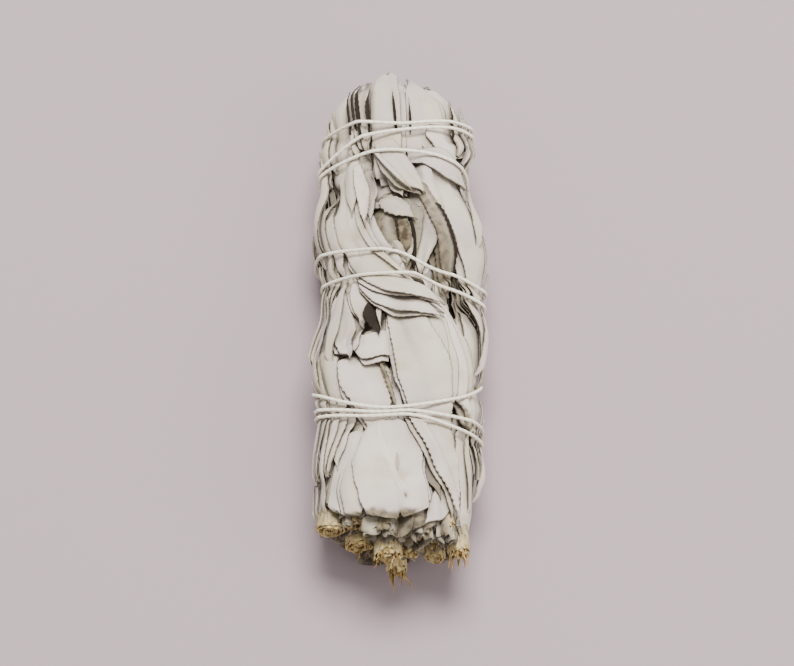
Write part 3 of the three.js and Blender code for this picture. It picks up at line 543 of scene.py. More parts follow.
def under_leaves():
    """Short leaves that cover each sprig on the sides and the underside."""
    draw = seeded(7)
    shares = []
    for index in range(len(SPRIGS)):
        degrees = np.flatnonzero(RIM_SPRIG == index)
        if len(degrees) < 12:
            continue
        start = next(t for t in degrees if RIM_SPRIG[t - 1] != index)
        count = int(np.ceil(len(degrees) / 44))
        share = len(degrees) / count
        shares += [((start + share * (i + 0.5)) % 360, share) for i in range(count)]
    bare = [(theta, share) for theta, share in shares if theta < 28 or theta > 148]
    made = []
    for along in (12, 42, 74):
        for theta, share in bare:
            root = (along - 8 - 5 * draw(), theta)
            tip = (along + 23 + 5 * draw(), theta + 12 * (draw() - 0.5))
            made.append(leaf(root, tip, 3 + share * 0.24, bow=2 * (draw() - 0.5), short=True))
    return made


def back_leaves():
    """Larger leaves on the underside, in two rings."""
    draw = seeded(21)
    made = []
    for ring, along in enumerate((9, 46)):
        for i in range(2):
            theta = 215 + 60 * i + 20 * draw() + 14 * ring
            lean = 30 * (draw() - 0.5)
            down = draw() > 0.5
            ends = [(along - 4 + 4 * draw(), theta), (along + 32 + 6 * draw(), theta + lean)]
            root, tip = ends[::-1] if down else ends
            width = 9 + 5 * draw()
            bow = 4 * (draw() - 0.5)
            made.append(leaf(root, tip, width, bow=bow, folded=draw() > 0.7))
    return made


# What a leaf may have besides its place, width, bow, fold and lift:
# torn: how wide its torn end is left, as a share; square: it is as wide at its root as in its middle
# trim: how many millimetres shorter it dried than its solid (longer, below 0); narrow: how much narrower
# turn: how many degrees its tip swung round; dried_bow: its bow when dry; single: nothing lies double under it
# teeth: how deep its edge is cut, in millimetres; dry: how brown it is; rib: where its raised double midrib runs
# beneath: which small leaves and folds show from under it; deep: how dark it is painted, a sheet of painted shade for
# the inside of a gap
TIP_LEAVES = [
    leaf((79, 174), (97.5, 171), 10, blunt=True, torn=0.9, trim=-2.4),
    leaf((80, 210), (97.5, 214), 11),
    leaf((80, 352), (99, 352), 10),
    leaf((81, 142), (100.5, 139), 9, blunt=True, torn=0.85, trim=-2.6, square=True),
    leaf((82, 121), (103, 124), 4.5, bow=0.5, folded=True, trim=-1.2),
    leaf((83, 111), (103, 113), 4.5, bow=0.5, folded=True, trim=-1.0),
    leaf((82, 19), (99, 18), 5, folded=True, trim=-2.0),
    leaf((83, 34), (100, 34), 6, folded=True, trim=-2.6),
    leaf((82, 50), (101, 52), 9, blunt=True, torn=0.9, trim=-2.2, square=True),
    leaf((82, 86), (104.5, 84), 6, folded=True, trim=-1.4),
    leaf((80, 62), (105.5, 71), 10, trim=-0.6),
    leaf((79, 98), (104.5, 99), 7.5, blunt=True, torn=0.8, trim=-2.2, square=True),
]
# Four leaves low on the sides, which the bunch lies on.
REST_LEAVES = [
    leaf((34, 215), (9, 246), 9, short=True),
    leaf((34, 325), (8, 294), 9, short=True),
    leaf((56, 212), (80, 243), 9, short=True),
    leaf((56, 328), (80, 297), 9, short=True),
]
FACE_LEAVES = [
    leaf((22, 186), (1, 189), 8, torn=0.8, trim=2.0),
    leaf((86, 184), (63, 186), 7, lift=0.3),
    leaf((20, 133), (2, 148), 7, blunt=True, torn=0.85, trim=3.4),
    leaf((19, 106), (-0.5, 109), 8, torn=0.9, trim=2.0),
    leaf((21, 119), (0, 132), 8.5, blunt=True, torn=0.9, trim=3.2),
    leaf((22, 66), (0, 60), 9, torn=0.8),
    leaf((24, 20), (1.5, 14), 9, torn=0.8),
    leaf((46, 158), (19, 166), 7, folded=True),
    leaf((40, 146), (11, 142), 8, bow=-1),
    leaf((50, 30), (14, 2), 9, bow=1),
    leaf((52, 56), (22, 18), 8, bow=-1, folded=True),
    leaf((50, 66), (24, 30), 5, folded=True, teeth=0.3),
    leaf((38, 117), (18, 100), 11, teeth=0.45),
    leaf((49, 80), (17, 46), 8, bow=-1),
    leaf((14, 112), (0, 110), 8, blunt=True, torn=0.95, trim=1.6),
    leaf((50, 93), (2, 37), 10.5, bow=-1.5, dried_bow=0.4, turn=-5, teeth=0.32, beneath="long leaf"),
    leaf((22, 98), (-2.5, 83), 15, blunt=True, torn=0.9, trim=3.2, rib=(-0.24, 0.40), beneath="front leaf"),
    leaf((21, 80), (2, 42), 4, folded=True, trim=-1.0, turn=-6, teeth=0.42),
    leaf((39.5, 98), (38, 122), 7, blunt=True, torn=0.8, square=True),
    leaf((54, 144), (36, 125), 7.5, torn=0.5, narrow=0.85),
    leaf((78, 176), (50, 166), 9),
    leaf((62, 136), (43, 118), 7, narrow=0.8),
    leaf((76, 34), (46, 16), 11, bow=1),
    leaf((76, 56), (34, 4), 9, bow=3, folded=True),
    leaf((87, 60), (50, 23), 12, bow=2.5),
    leaf((76, 74), (51, 47), 4.5, bow=1, folded=True, narrow=0.85, teeth=0.4, dry=0.75),
    leaf((82, 84), (55.5, 69.5), 8, bow=0.5, narrow=0.9),
    leaf((56, 125), (44, 60), 6.5, bow=-1.5, narrow=0.85, beneath="cross leaf"),
    leaf((80, 135), (46, 62), 9.5, bow=-6.5, beneath="curved leaf"),
    leaf((82, 125), (64.5, 114), 4.5, folded=True, trim=1.5, narrow=0.6, beneath="slim fold"),
    leaf((82, 91), (72.5, 86), 4.5),
    leaf((87, 110), (72.5, 68), 8, narrow=0.78, turn=3, single=True, beneath="shoulder leaf"),
]
leaf_outline = curve_through([(0, 0.3), (0.15, 0.68), (0.42, 1), (0.7, 0.86), (0.88, 0.52), (1, 0.1)])
blunt_outline = curve_through([(0, 0.3), (0.15, 0.68), (0.42, 1), (0.84, 0.98), (1, 0.82)])


def measured(asked):
    """How a leaf runs over the skin: its way along, its way round in millimetres, and millimetres a degree."""
    (along, theta), (to_along, to_theta) = asked["root"], asked["tip"]
    middle = np.radians((theta + to_theta) / 2)
    half_width = HALF_WIDTH * fullness((along + to_along) / 2)
    per_degree = np.radians(1) * half_width * np.hypot(np.sin(middle), HEIGHT_SHARE * np.cos(middle))
    return to_along - along, (to_theta - theta) * per_degree, per_degree


def leaf_places(asked, u, sideways):
    """Where places of a leaf lie on the skin: u from its root to its tip, sideways off its straight middle."""
    run_along, run_round, per_degree = measured(asked)
    length = np.hypot(run_along, run_round)
    shifted = sideways + asked["bow"] * 4 * u * (1 - u)
    along = asked["root"][0] + run_along * u - run_round / length * shifted
    around = run_round * u + run_along / length * shifted
    return along, asked["root"][1] + around / per_degree


def coarse_lattice(asked):
    """The few points that a leaf of the solids has."""
    columns = 1 if asked["folded"] else 3 if asked["width"] > 11 else 2
    u = np.array([0, 0.12, 0.4, 0.7, 1] if asked["short"] else [0, 0.08, 0.25, 0.45, 0.65, 0.84, 1])[:, None]
    v = np.linspace(-1, 1, columns + 1)[None, :]
    outline = blunt_outline if asked["blunt"] else leaf_outline
    along, theta = leaf_places(asked, u, asked["width"] / 2 * outline(u) * v)
    return u[:, 0], v[0], along, theta


def rooted(asked):
    """Moves a leaf's root to the nearest place where one sprig alone lies on top, for the leaf to grow from."""
    along, theta = asked["root"]
    steps = [(step, 3 * turn) for step in range(-5, 6) for turn in range(-6, 7)]
    for step, turn in sorted(steps, key=lambda s: np.hypot(s[0], s[1] / 3)):
        place = (along + step, theta + turn)
        owner = owner_map[map_slot(*place)]
        patch = [(place[0] + 2 * i, place[1] + 8 * k) for i in (-1, 0, 1) for k in (-1, 0, 1)]
        if all(owner_map[map_slot(*spot)] == owner for spot in patch):
            return {**asked, "root": place, "sprig": owner}
    return {**asked, "sprig": owner_map[map_slot(along, theta)]}


def lay(asked):
    """Lays a leaf on what is there: it is stiff, so it spans hollows, and it keeps clear of what it covers."""
    laid = rooted(asked)
    u, v, along, theta = coarse_lattice(laid)
    thickness = LEAF_THICKNESS * (1.5 if laid["folded"] else 1)
    base = ground(along, theta, 2) + laid["lift"] * np.minimum(np.arange(len(u)) / 2, 1)[:, None]
    heights = base
    for _ in range(3):
        before = np.vstack([heights[:1], heights[:-1]])
        after = np.vstack([heights[1:], heights[-1:]])
        heights = np.maximum(base, (before + 2 * heights + after) / 4)
    outer = heights + CLEARANCE + thickness
    outer[0] = height_map[map_slot(*laid["root"])] + 0.25
    p, q = np.meshgrid(np.arange(9) / 8, np.arange(9) / 8, indexing="ij")
    for j in range(len(u) - 1):
        for k in range(len(v) - 1):
            def blend(value):
                near = value[j, k] + (value[j + 1, k] - value[j, k]) * p
                far = value[j, k + 1] + (value[j + 1, k + 1] - value[j, k + 1]) * p
                return near + (far - near) * q
            slot = map_slot(blend(along), blend(theta))
            was = height_map[slot].copy()
            np.maximum.at(height_map, slot, blend(outer))
            raised = height_map[slot] > was
            owner_map[slot[0][raised], slot[1][raised]] = laid["sprig"]
    return {**laid, "outer": outer, "rows_at": u, "columns_at": v}


LEAVES = [lay(asked) for asked in under_leaves() + TIP_LEAVES + back_leaves() + REST_LEAVES + FACE_LEAVES]

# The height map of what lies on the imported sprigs, in millimetres over the skin, fine enough for folds.
FINE_START, FINE_END = -9.0, 111.0
FINE_ALONG, FINE_ROUND = 0.5, 1.5
fine_rows = np.arange(FINE_START, FINE_END + 0.1, FINE_ALONG)
fine_columns = np.arange(0, 360, FINE_ROUND)
core_top = HALF_WIDTH * HEIGHT_SHARE * fullness(fine_rows) - core_depth(fine_rows)
fine_map = -core_depth(fine_rows)[:, None] - (1 - RIM_SHARE[fine_columns.astype(int)]) * core_top[:, None]
fine_map = fine_map - core_drop(fine_rows)[:, None] * np.sin(np.radians(fine_columns)) - 0.2


def spread_out(values):
    """Each place of a map takes the highest value round it."""
    wide = np.maximum(np.maximum(np.roll(values, 1, 1), values), np.roll(values, -1, 1))
    tall = wide.copy()
    tall[1:] = np.maximum(tall[1:], wide[:-1])
    tall[:-1] = np.maximum(tall[:-1], wide[1:])
    return tall


def weighed(values, rows, columns, part_row, part_column):
    """Reads a table part of the way from one row and column to the next."""
    near, far = (
        values[row, columns[0]] * (1 - part_column) + values[row, columns[1]] * part_column
        for row in (rows, rows + 1)
    )
    return near * (1 - part_row) + far * part_row


def read_map(values, along, theta):
    """Reads a height map, which closes up round the bundle."""
    r = np.clip((along - FINE_START) / FINE_ALONG, 0, len(fine_rows) - 1.001)
    c = np.mod(theta, 360) / FINE_ROUND
    row, column, n = np.floor(r).astype(int), np.floor(c).astype(int), len(fine_columns)
    return weighed(values, row, (column % n, (column + 1) % n), r - row, c - column)


def between(values, u_at, v_at, u, v):
    """Reads a lattice of values between its rows and columns."""
    r = np.clip(np.searchsorted(u_at, u) - 1, 0, len(u_at) - 2)
    c = np.clip(np.searchsorted(v_at, v) - 1, 0, len(v_at) - 2)
    part_row, part_column = (u - u_at[r]) / (u_at[r + 1] - u_at[r]), (v - v_at[c]) / (v_at[c + 1] - v_at[c])
    return weighed(values, r, (c, c + 1), part_row, part_column)


def noise_row(rng, places, wavelength):
    """A smooth random row of values from -1 to 1, for places in millimetres."""
    knots = np.arange(places.min() - 2 * wavelength, places.max() + 3 * wavelength, wavelength)
    values = rng.random(len(knots)) * 2 - 1
    return curve_through(list(zip(knots, values)))(places)


def kinked_row(rng, places, wavelength):
    """A random row of values from -1 to 1 that runs straight from one to the next."""
    knots = np.arange(places.min() - wavelength, places.max() + 2 * wavelength, wavelength)
    knots = knots + (rng.random(len(knots)) - 0.5) * wavelength * 0.7
    return np.interp(places, knots, rng.random(len(knots)) * 2 - 1)


def smoothed(height):
    """Each point of a lattice goes towards its neighbours."""
    padded = np.pad(height, 1, mode="edge")
    return (padded[:-2, 1:-1] + padded[2:, 1:-1] + padded[1:-1, :-2] + padded[1:-1, 2:] + 4 * height) / 8


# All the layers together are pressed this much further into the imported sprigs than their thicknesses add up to, and
# this much more under the string. Near the cut end the flanks spread. Nothing lies lower than the bed it rests on.
SQUEEZED, NIP, SPREAD, BED = 0.8, 0.45, 1.6, 0.8


def pressed_spot(along, theta, height):
    """A place over the skin, pressed in a little right under the string and pressed flat by what it lies on."""
    nip = NIP * np.exp(-((away_from_string(along, theta) / 1.0) ** 2))
    spot = skin_spot(along, theta, height - SQUEEZED - nip)
    lean = SPREAD * np.exp(-(((along - 24.0) / 14.0) ** 2))
    spot[..., 0] += lean * (np.abs(spot[..., 0]) / 18.0) ** 1.5
    spot[..., 2] = np.where(spot[..., 2] > BED, spot[..., 2], BED * np.exp((spot[..., 2] - BED) / BED))
    return spot


# Where the rows of points stand across a leaf, from edge to edge, with more of them at the rims and the midrib.
FULL = np.array([-1, -0.93, -0.8, -0.6, -0.4, -0.22, -0.08, 0, 0.08, 0.22, 0.4, 0.6, 0.8, 0.93, 1])
PLAIN = np.array([-1, -0.85, -0.5, -0.17, 0.17, 0.5, 0.85, 1])
# The half width along a leaf, as a share.
POINTED_SHAPE = [(0, 0.35), (0.1, 0.72), (0.34, 1.0), (0.62, 0.88), (0.82, 0.56), (0.93, 0.3), (1, 0.06)]
BLUNT_SHAPE = [(0, 0.35), (0.14, 0.74), (0.42, 1.0), (0.86, 0.97), (1, 0.84)]
CUT_SHAPE = [(0, 0.92), (0.3, 1.0), (1, 0.96)]
TOOTH = 1.25  # from one tooth of the edge to the next


def shape_leaf(asked, number, across, spacing, thick, serration=0.0, torn=0.0):
    """A leaf's fine outline: half widths on both sides, with its wavy or torn edge."""
    rng = np.random.default_rng(1000 + number)
    run_along, run_round, _ = measured(asked)
    length = np.hypot(run_along, run_round)
    rows = int(np.clip(length / spacing, 12, 120))
    t = np.linspace(0, 1, rows + 1)
    u = t + 0.3 * t * (1 - t)
    tip_share = 1.2 / length if torn else 4.0 / length
    closing = np.clip((1.0 - u) / tip_share, 0.02 if torn else 0, 1.0) ** (0.5 if torn else 0.75)
    far = u * length
    skew = 0.25 * (rng.random() - 0.5)
    sides = []
    for side_skew in (skew, -skew):
        knots = CUT_SHAPE if asked["square"] else BLUNT_SHAPE if asked["blunt"] else POINTED_SHAPE
        outline = np.interp(u ** (1 + side_skew), *zip(*knots))
        if torn:
            outline = np.maximum(outline, torn * (u > 0.4))
        wobble = 1 + 0.09 * kinked_row(rng, far, 7.0) + 0.03 * kinked_row(rng, far, 2.2)
        teeth = serration * (1 - 2 * np.abs(np.mod(far / TOOTH + rng.random(), 1) - 0.5)) * (u > 0.08)
        sides.append(asked["width"] / 2 * outline * wobble * closing - teeth * closing)
    uu, vv = np.meshgrid(u, across, indexing="ij")
    along, theta = leaf_places(asked, uu, np.where(vv < 0, sides[0][:, None], sides[1][:, None]) * vv)
    if torn:
        off = across * asked["width"] / 2
        jags = kinked_row(rng, off, 0.7) * 0.55 + kinked_row(rng, off, 2.4) * 0.7
        along = along + np.sign(run_along) * jags[None, :] * np.clip((uu - 0.7) / 0.3, 0, 1) ** 2
    return dict(asked=asked, number=number, u=u, across=across, along=along, theta=theta, thick=thick, length=length,
                uu=uu, vv=vv, sides=sides, rng=rng, torn=torn)


TOUCH = 0.06  # the air between two leaves that touch


def hug(shaped):
    """The lowest a leaf can lie: it rests on what is there and spans small hollows."""
    lowest = read_map(spread_out(fine_map), shaped["along"], shaped["theta"]) + shaped["thick"] + TOUCH
    height = lowest
    for _ in range(30):
        height = np.maximum(lowest, smoothed(height))
    return lowest, height


# The two raised edges of a midrib: how far apart they stand, how wide each is and how high. Then the low ridge along
# the middle of every leaf, and how far apart the side veins are.
RIB_APART, RIB_WIDTH, RIB_HEIGHT = 0.6, 0.17, 0.2
RIDGE_HEIGHT, VEINS_APART = 0.16, 2.6


def rib_share(asked, u, v):
    """How much of a leaf's raised double midrib is at a place of it, from 0 to 1."""
    first, last = asked["rib"]
    off = (v - first - (last - first) * u) * asked["width"] / 2
    ends = np.clip((u - 0.02) * 12, 0, 1) * np.clip((0.82 - u) * 20, 0, 1)
    return np.exp(-(((np.abs(off) - RIB_APART / 2) / RIB_WIDTH) ** 2)) * ends


MARK_STEP = 0.22  # how close the points are that mark a leaf on the height map


def settle(shaped, wish, lowest):
    """Gives a leaf its creases, waves and curled edges, and marks it on the height map."""
    asked, rng, uu, vv = (shaped[key] for key in ("asked", "rng", "uu", "vv"))
    far = shaped["u"] * shaped["length"]
    fold = 0.5 * rng.random() - 0.25
    half = asked["width"] / 2
    crease = -0.24 * np.abs(vv - fold) * half / 4 * rng.random()
    for _ in range(2 if half > 2.5 else 0):
        line = (0.8 * rng.random() - 0.4) + 0.3 * kinked_row(rng, far, 12.0)
        strength = np.clip(kinked_row(rng, far, 14.0) + 0.3, 0, 1)
        crease = crease - (0.5 * strength)[:, None] * np.clip(1 - np.abs(vv - line[:, None]) * half / 1.1, 0, 1)
    ripple = sum(0.16 * noise_row(rng, far, 6.0)[:, None] * (1 + side * vv) / 2 for side in (1, -1))
    curl = 0.4 * sum(np.clip(noise_row(rng, far, 6.0), 0, 1)[:, None] * np.clip(side * vv, 0, 1) ** 6
                     for side in (1, -1))
    if half > 3:
        ripple = ripple + RIDGE_HEIGHT * np.clip(1 - np.abs(vv) * half / 0.5, 0, 1) * (1 - uu)
    ripple = ripple * (1 + 1.6 * asked["dry"])
    if asked["rib"]:
        ripple = ripple + RIB_HEIGHT * rib_share(asked, uu, vv)
    cup = asked["cup"] * (1 - vv**2) * np.sin(np.pi * np.clip(uu, 0, 1))
    # A sheet that is all painted shade lies flat, without creases, waves or curls.
    if asked["deep"] == 1.0:
        crease, ripple, curl = 0.0, 0.0, 0.0
    height = np.maximum(wish + crease + ripple + curl + cup + 0.1, lowest)
    for _ in range(3):
        height = np.maximum(smoothed(height), lowest)
    height[0] -= 0.9
    height[1] -= 0.3
    shaped["height"] = height
    n_u, n_v = max(int(shaped["length"] / MARK_STEP), 20), max(int(asked["width"] / MARK_STEP), 12)
    gu, gv = np.meshgrid(np.linspace(0.04, 1, n_u), np.linspace(-1, 1, n_v), indexing="ij")
    along, theta, top = (
        between(shaped[key], shaped["u"], shaped["across"], gu, gv) for key in ("along", "theta", "height")
    )
    r = np.clip(np.rint((along - FINE_START) / FINE_ALONG).astype(int), 0, len(fine_rows) - 1)
    c = np.rint(theta / FINE_ROUND).astype(int) % len(fine_columns)
    np.maximum.at(fine_map, (r, c), top)
    return shaped


# Thickness of a leaf, and of one pressed thin under another.
BLADE, PLY = 0.36, 0.26
all_leaves = []


def lay_loose(asked, across=PLAIN, spacing=0.9, thick=BLADE, **shape):
    """Lays a leaf that only the eye asks for: it lies as low as what is under it lets it."""
    if "sprig" not in asked:
        asked["sprig"] = int(RIM_SPRIG[int(asked["root"][1]) % 360])
    shaped = shape_leaf(asked, len(all_leaves) + 1, across, spacing, thick, **shape)
    lowest, height = hug(shaped)
    all_leaves.append(settle(shaped, height, lowest))


def lay_deep(asked, depth):
    """Stands a leaf in the open end of the bunch, well under the skin."""
    asked["sprig"] = int(RIM_SPRIG[int(asked["root"][1]) % 360])
    shaped = shape_leaf(asked, len(all_leaves) + 1, PLAIN, 1.2, BLADE)
    rng, far = shaped["rng"], shaped["u"] * shaped["length"]
    wave = 0.5 * noise_row(rng, far, 6.0)[:, None]
    shaped["height"] = -depth + wave + 0.35 * noise_row(rng, far, 3.0)[:, None] * shaped["vv"]
    all_leaves.append(shaped)


# Inside the tip end, rings of folded leaf tips stand one inside the other.
rng = np.random.default_rng(71)
for depth, count in ((2.2, 14), (4.2, 12), (6.4, 10), (8.6, 7), (10.6, 4)):
    for k in range(count):
        theta = (k + 0.7 * rng.random()) * 360 / count
        reach = 98 + 4 * np.clip(np.sin(np.radians(theta)), 0, 1) - 0.25 * depth + 2 * rng.random()
        folded_tip = leaf((80, theta), (reach, theta + 8 * (rng.random() - 0.5)), 7.5, blunt=True)
        lay_deep(folded_tip, depth + 0.8 * rng.random())

# Under the leaves that show, rings of crumpled ones fill the hollows between the sprigs.
rng = np.random.default_rng(77)
for along in (-3, 14, 32, 50, 68, 5, 23, 41, 59, 74):
    for k in range(14):
        theta = k * 360 / 14 + 16 * rng.random() + along
        start = along + 6 * rng.random()
        if along < 0:
            start = 4.0 + 2.0 * rng.random() if 0 < theta % 360 < 180 else 1.6 + 2.0 * rng.random()
        root, tip = (start, theta), (start + 24 + 6 * rng.random(), theta + 20 * (rng.random() - 0.5))
        if along < 0 or rng.random() < 0.5:
            root, tip = tip, root
        lay_loose(leaf(root, tip, 4.5 + 3.5 * rng.random(), bow=3 * (rng.random() - 0.5)), spacing=1.2,
                  torn=0.75 if along < 0 else 0.0)


def beside(asked, offset, width, start=0.02, end=0.93, **more):
    """A narrow fold that runs along a leaf, off its middle."""
    along, theta = leaf_places({**asked, "bow": 0.0}, np.array([start, end]), np.array([offset, offset * 0.7]))
    fold = {**asked, "root": (along[0], theta[0]), "tip": (along[1], theta[1]), "width": width, "folded": True}
    return {**fold, "blunt": False, **more}


# Small leaves and folds that show from under some of the main ones. A deep one is a dark sheet of painted shade for
# the inside of a gap.
BENEATH = {
    "front leaf": [
        leaf((9, 66), (-1.4, 65), 5, torn=0.9), leaf((9, 75), (-2.4, 74), 5, torn=0.9),
        leaf((9, 84), (-3, 84), 6, torn=0.9), leaf((9.5, 38), (-1, 68), 6),
        leaf((16, 68), (5, 54), 3.0, folded=True, deep=0.8),
    ],
    "long leaf": [leaf((36.5, 105), (22.5, 85), 1.7, folded=True, dry=1.0, teeth=0.5)],
    "shoulder leaf": [
        leaf((86, 50), (79.5, 41), 7, deep=1.0), leaf((93, 52), (84, 43), 8.5, torn=0.9),
        leaf((84, 80), (78.5, 24), 5.2),
    ],
    # A leaf that dried brown, cupped and split, seen in the hollow beside the curved leaf; the split and the hollow
    # are dark sheets of painted shade.
    "curved leaf": [
        leaf((74, 92), (55.5, 82), 9, deep=0.6), leaf((68, 82), (56, 75.5), 2.0, deep=1.0),
        leaf((64, 82), (56, 85), 2.6, folded=True),
        leaf((76, 104), (57.0, 98), 10.5, blunt=True, cup=1.6, dry=1.0),
        leaf((71.5, 93), (57, 88.5), 1.1, deep=1.0, teeth=0.5), leaf((73, 118), (64, 117), 1.6, deep=1.0),
        leaf((62, 95), (57.5, 84), 2.6, dry=0.35, teeth=0.2, torn=0.5),
        leaf((73.0, 114), (71.5, 92), 1.9, bow=-1.0, folded=True, dry=0.2),
        leaf((73, 103), (67.0, 76), 6.0, cup=0.6, dry=0.3, teeth=0.45),
    ],
    "cross leaf": [
        leaf((76.5, 74), (52, 43.5), 3.7, folded=True, dry=0.85, teeth=0.3),
        leaf((71, 64), (52, 43), 0.9, folded=True, deep=1.0, teeth=0.35),
        leaf((49.5, 113), (40.5, 104), 5.2, deep=1.0, teeth=0.5), leaf((49.5, 108), (42, 103), 1.5, folded=True),
    ],
    "slim fold": [leaf((86, 130), (70, 129), 4.2, folded=True)],
}
# Narrow folded edges that stand side by side at the tips, laid last, and dark sheets of painted shade for the gaps
# between them.
TIP_FOLDS = [((84, 128), (100, 128)), ((84, 123), (101.5, 123)), ((85, 118), (102, 118.5)), ((84, 114), (102.5, 114)),
             ((84, 43), (98.5, 41)), ((83, 36), (97.5, 34)), ((82, 28), (96.5, 27)), ((82, 150), (97, 150))]
TIP_SLITS = [((88, 125.5), (99, 125.5)), ((89, 120), (101, 120.5)), ((87, 116), (100, 116)), ((88, 110.5), (99, 110)),
             ((89, 90), (100, 93)), ((89, 77), (98, 79)), ((88, 47), (96, 46))]

# Each leaf of the solids gets its fine form, with thin plies that stick out from under it and leaves in the hollow
# between it and what is there, so that it lies nearly as high as its solid.
INSIDE = 0.2  # how far below its solid a leaf stays
ply = dict(across=FULL, spacing=0.6, thick=PLY)
for laid in LEAVES:
    run_along = measured(laid)[0]
    share = 1 - laid["trim"] / run_along * np.sign(run_along)
    tip = tuple(a + (b - a) * share for a, b in zip(laid["root"], laid["tip"]))
    laid.update(tip=(tip[0], tip[1] + laid["turn"]), width=laid["width"] * laid["narrow"],
                bow=laid.get("dried_bow", laid["bow"]))
    for small in BENEATH.get(laid["beneath"], []):
        teeth = small.get("teeth", 0.1)
        lay_loose(small, across=FULL, spacing=0.5, thick=0.4, torn=small["torn"], serration=teeth)
    torn, width, single = laid["torn"], laid["width"], laid["single"]
    across = np.linspace(-1, 1, 71) if laid["rib"] else FULL
    main = shape_leaf(laid, len(all_leaves) + 500, across, 0.9 if laid["short"] else 0.42,
                      0.5 if laid["folded"] else BLADE, serration=laid.get("teeth", 0.14), torn=torn)
    solid_u = np.clip(main["uu"] * share, 0, 1)
    solid_top = between(laid["outer"], laid["rows_at"], laid["columns_at"], solid_u, main["vv"]) - INSIDE
    rng = np.random.default_rng(3000 + main["number"])
    if not laid["short"]:
        side = 1 if rng.random() < 0.5 else -1
        shift = side * (0.7 + 0.8 * rng.random())
        under = beside(laid, shift, width, start=0.05, end=0.97, folded=laid["folded"], blunt=laid["blunt"])
        lay_loose(under, torn=torn, serration=0.12, **ply)
        far_side = beside(laid, -side * (1.4 + 0.9 * rng.random()), width * 0.9, start=0.08, end=0.96)
        far_side["tip"] = (far_side["tip"][0], far_side["tip"][1] + 5 * (rng.random() - 0.5))
        if rng.random() < 0.6 and width > 5 and not laid["folded"] and not single:
            lay_loose(far_side, torn=torn, serration=0.12, **ply)
    for _ in range(0 if single else 3):
        lowest, height = hug(main)
        gap = np.mean((solid_top - height)[len(solid_top) // 6 :])
        if gap < 0.6:
            break
        root, tip = ((end[0] + 3 * (rng.random() - 0.5), end[1] + 10 * (rng.random() - 0.5))
                     for end in (laid["root"], laid["tip"]))
        lay_loose({**laid, "root": root, "tip": tip, "width": width * (0.8 + 0.25 * rng.random())}, torn=torn)
    lowest, height = hug(main)
    keep = 0.6 * (1 - main["vv"] ** 4)
    all_leaves.append(settle(main, height + keep * np.maximum(solid_top - height, 0), lowest))
    if not laid["short"] and not laid["folded"] and not torn and rng.random() < 0.4:
        side = 1 if rng.random() < 0.5 else -1
        fold = beside(laid, side * width * 0.38, width * 0.2, start=0.03, end=0.93)
        lay_loose(fold, serration=0.1, **ply)
for root, tip in TIP_FOLDS:
    lay_loose(leaf(root, tip, 2.2, folded=True), across=FULL, spacing=0.6, thick=0.75, serration=0.1)
for root, tip in TIP_SLITS:
    lay_loose(leaf(root, tip, 0.9, folded=True, deep=1.0), across=FULL, spacing=0.6, thick=0.3, serration=0.2)

# One more broad leaf lies cupped over the tips at the left.
lay_loose(leaf((80, 177), (97, 171), 10, blunt=True, cup=1.3, square=True), across=FULL, spacing=0.5, torn=0.9)

# Narrow folds lie edge up along both flanks and round the back.
FLANKS = (143, 147, 152, 157, 162, 168, 174, 181, 190, 200, 214, 228, 244,
          262, 281, 297, 312, 326, 338, 346, 354, 3, 11, 19, 27)
rng = np.random.default_rng(79)
for theta in FLANKS:
    for start in (6, 36, 62):
        start = start + 12 * (rng.random() - 0.5)
        reach = start + 16 + 14 * rng.random()
        turn = theta + 6 * (rng.random() - 0.5)
        if rng.random() < 0.65:
            tip = (reach, turn + 14 * (rng.random() - 0.5))
            fold = leaf((start, turn), tip, 2.0 + 1.6 * rng.random(), folded=True)
            lay_loose(fold, spacing=0.7, serration=0.12)

covering = spread_out(fine_map)


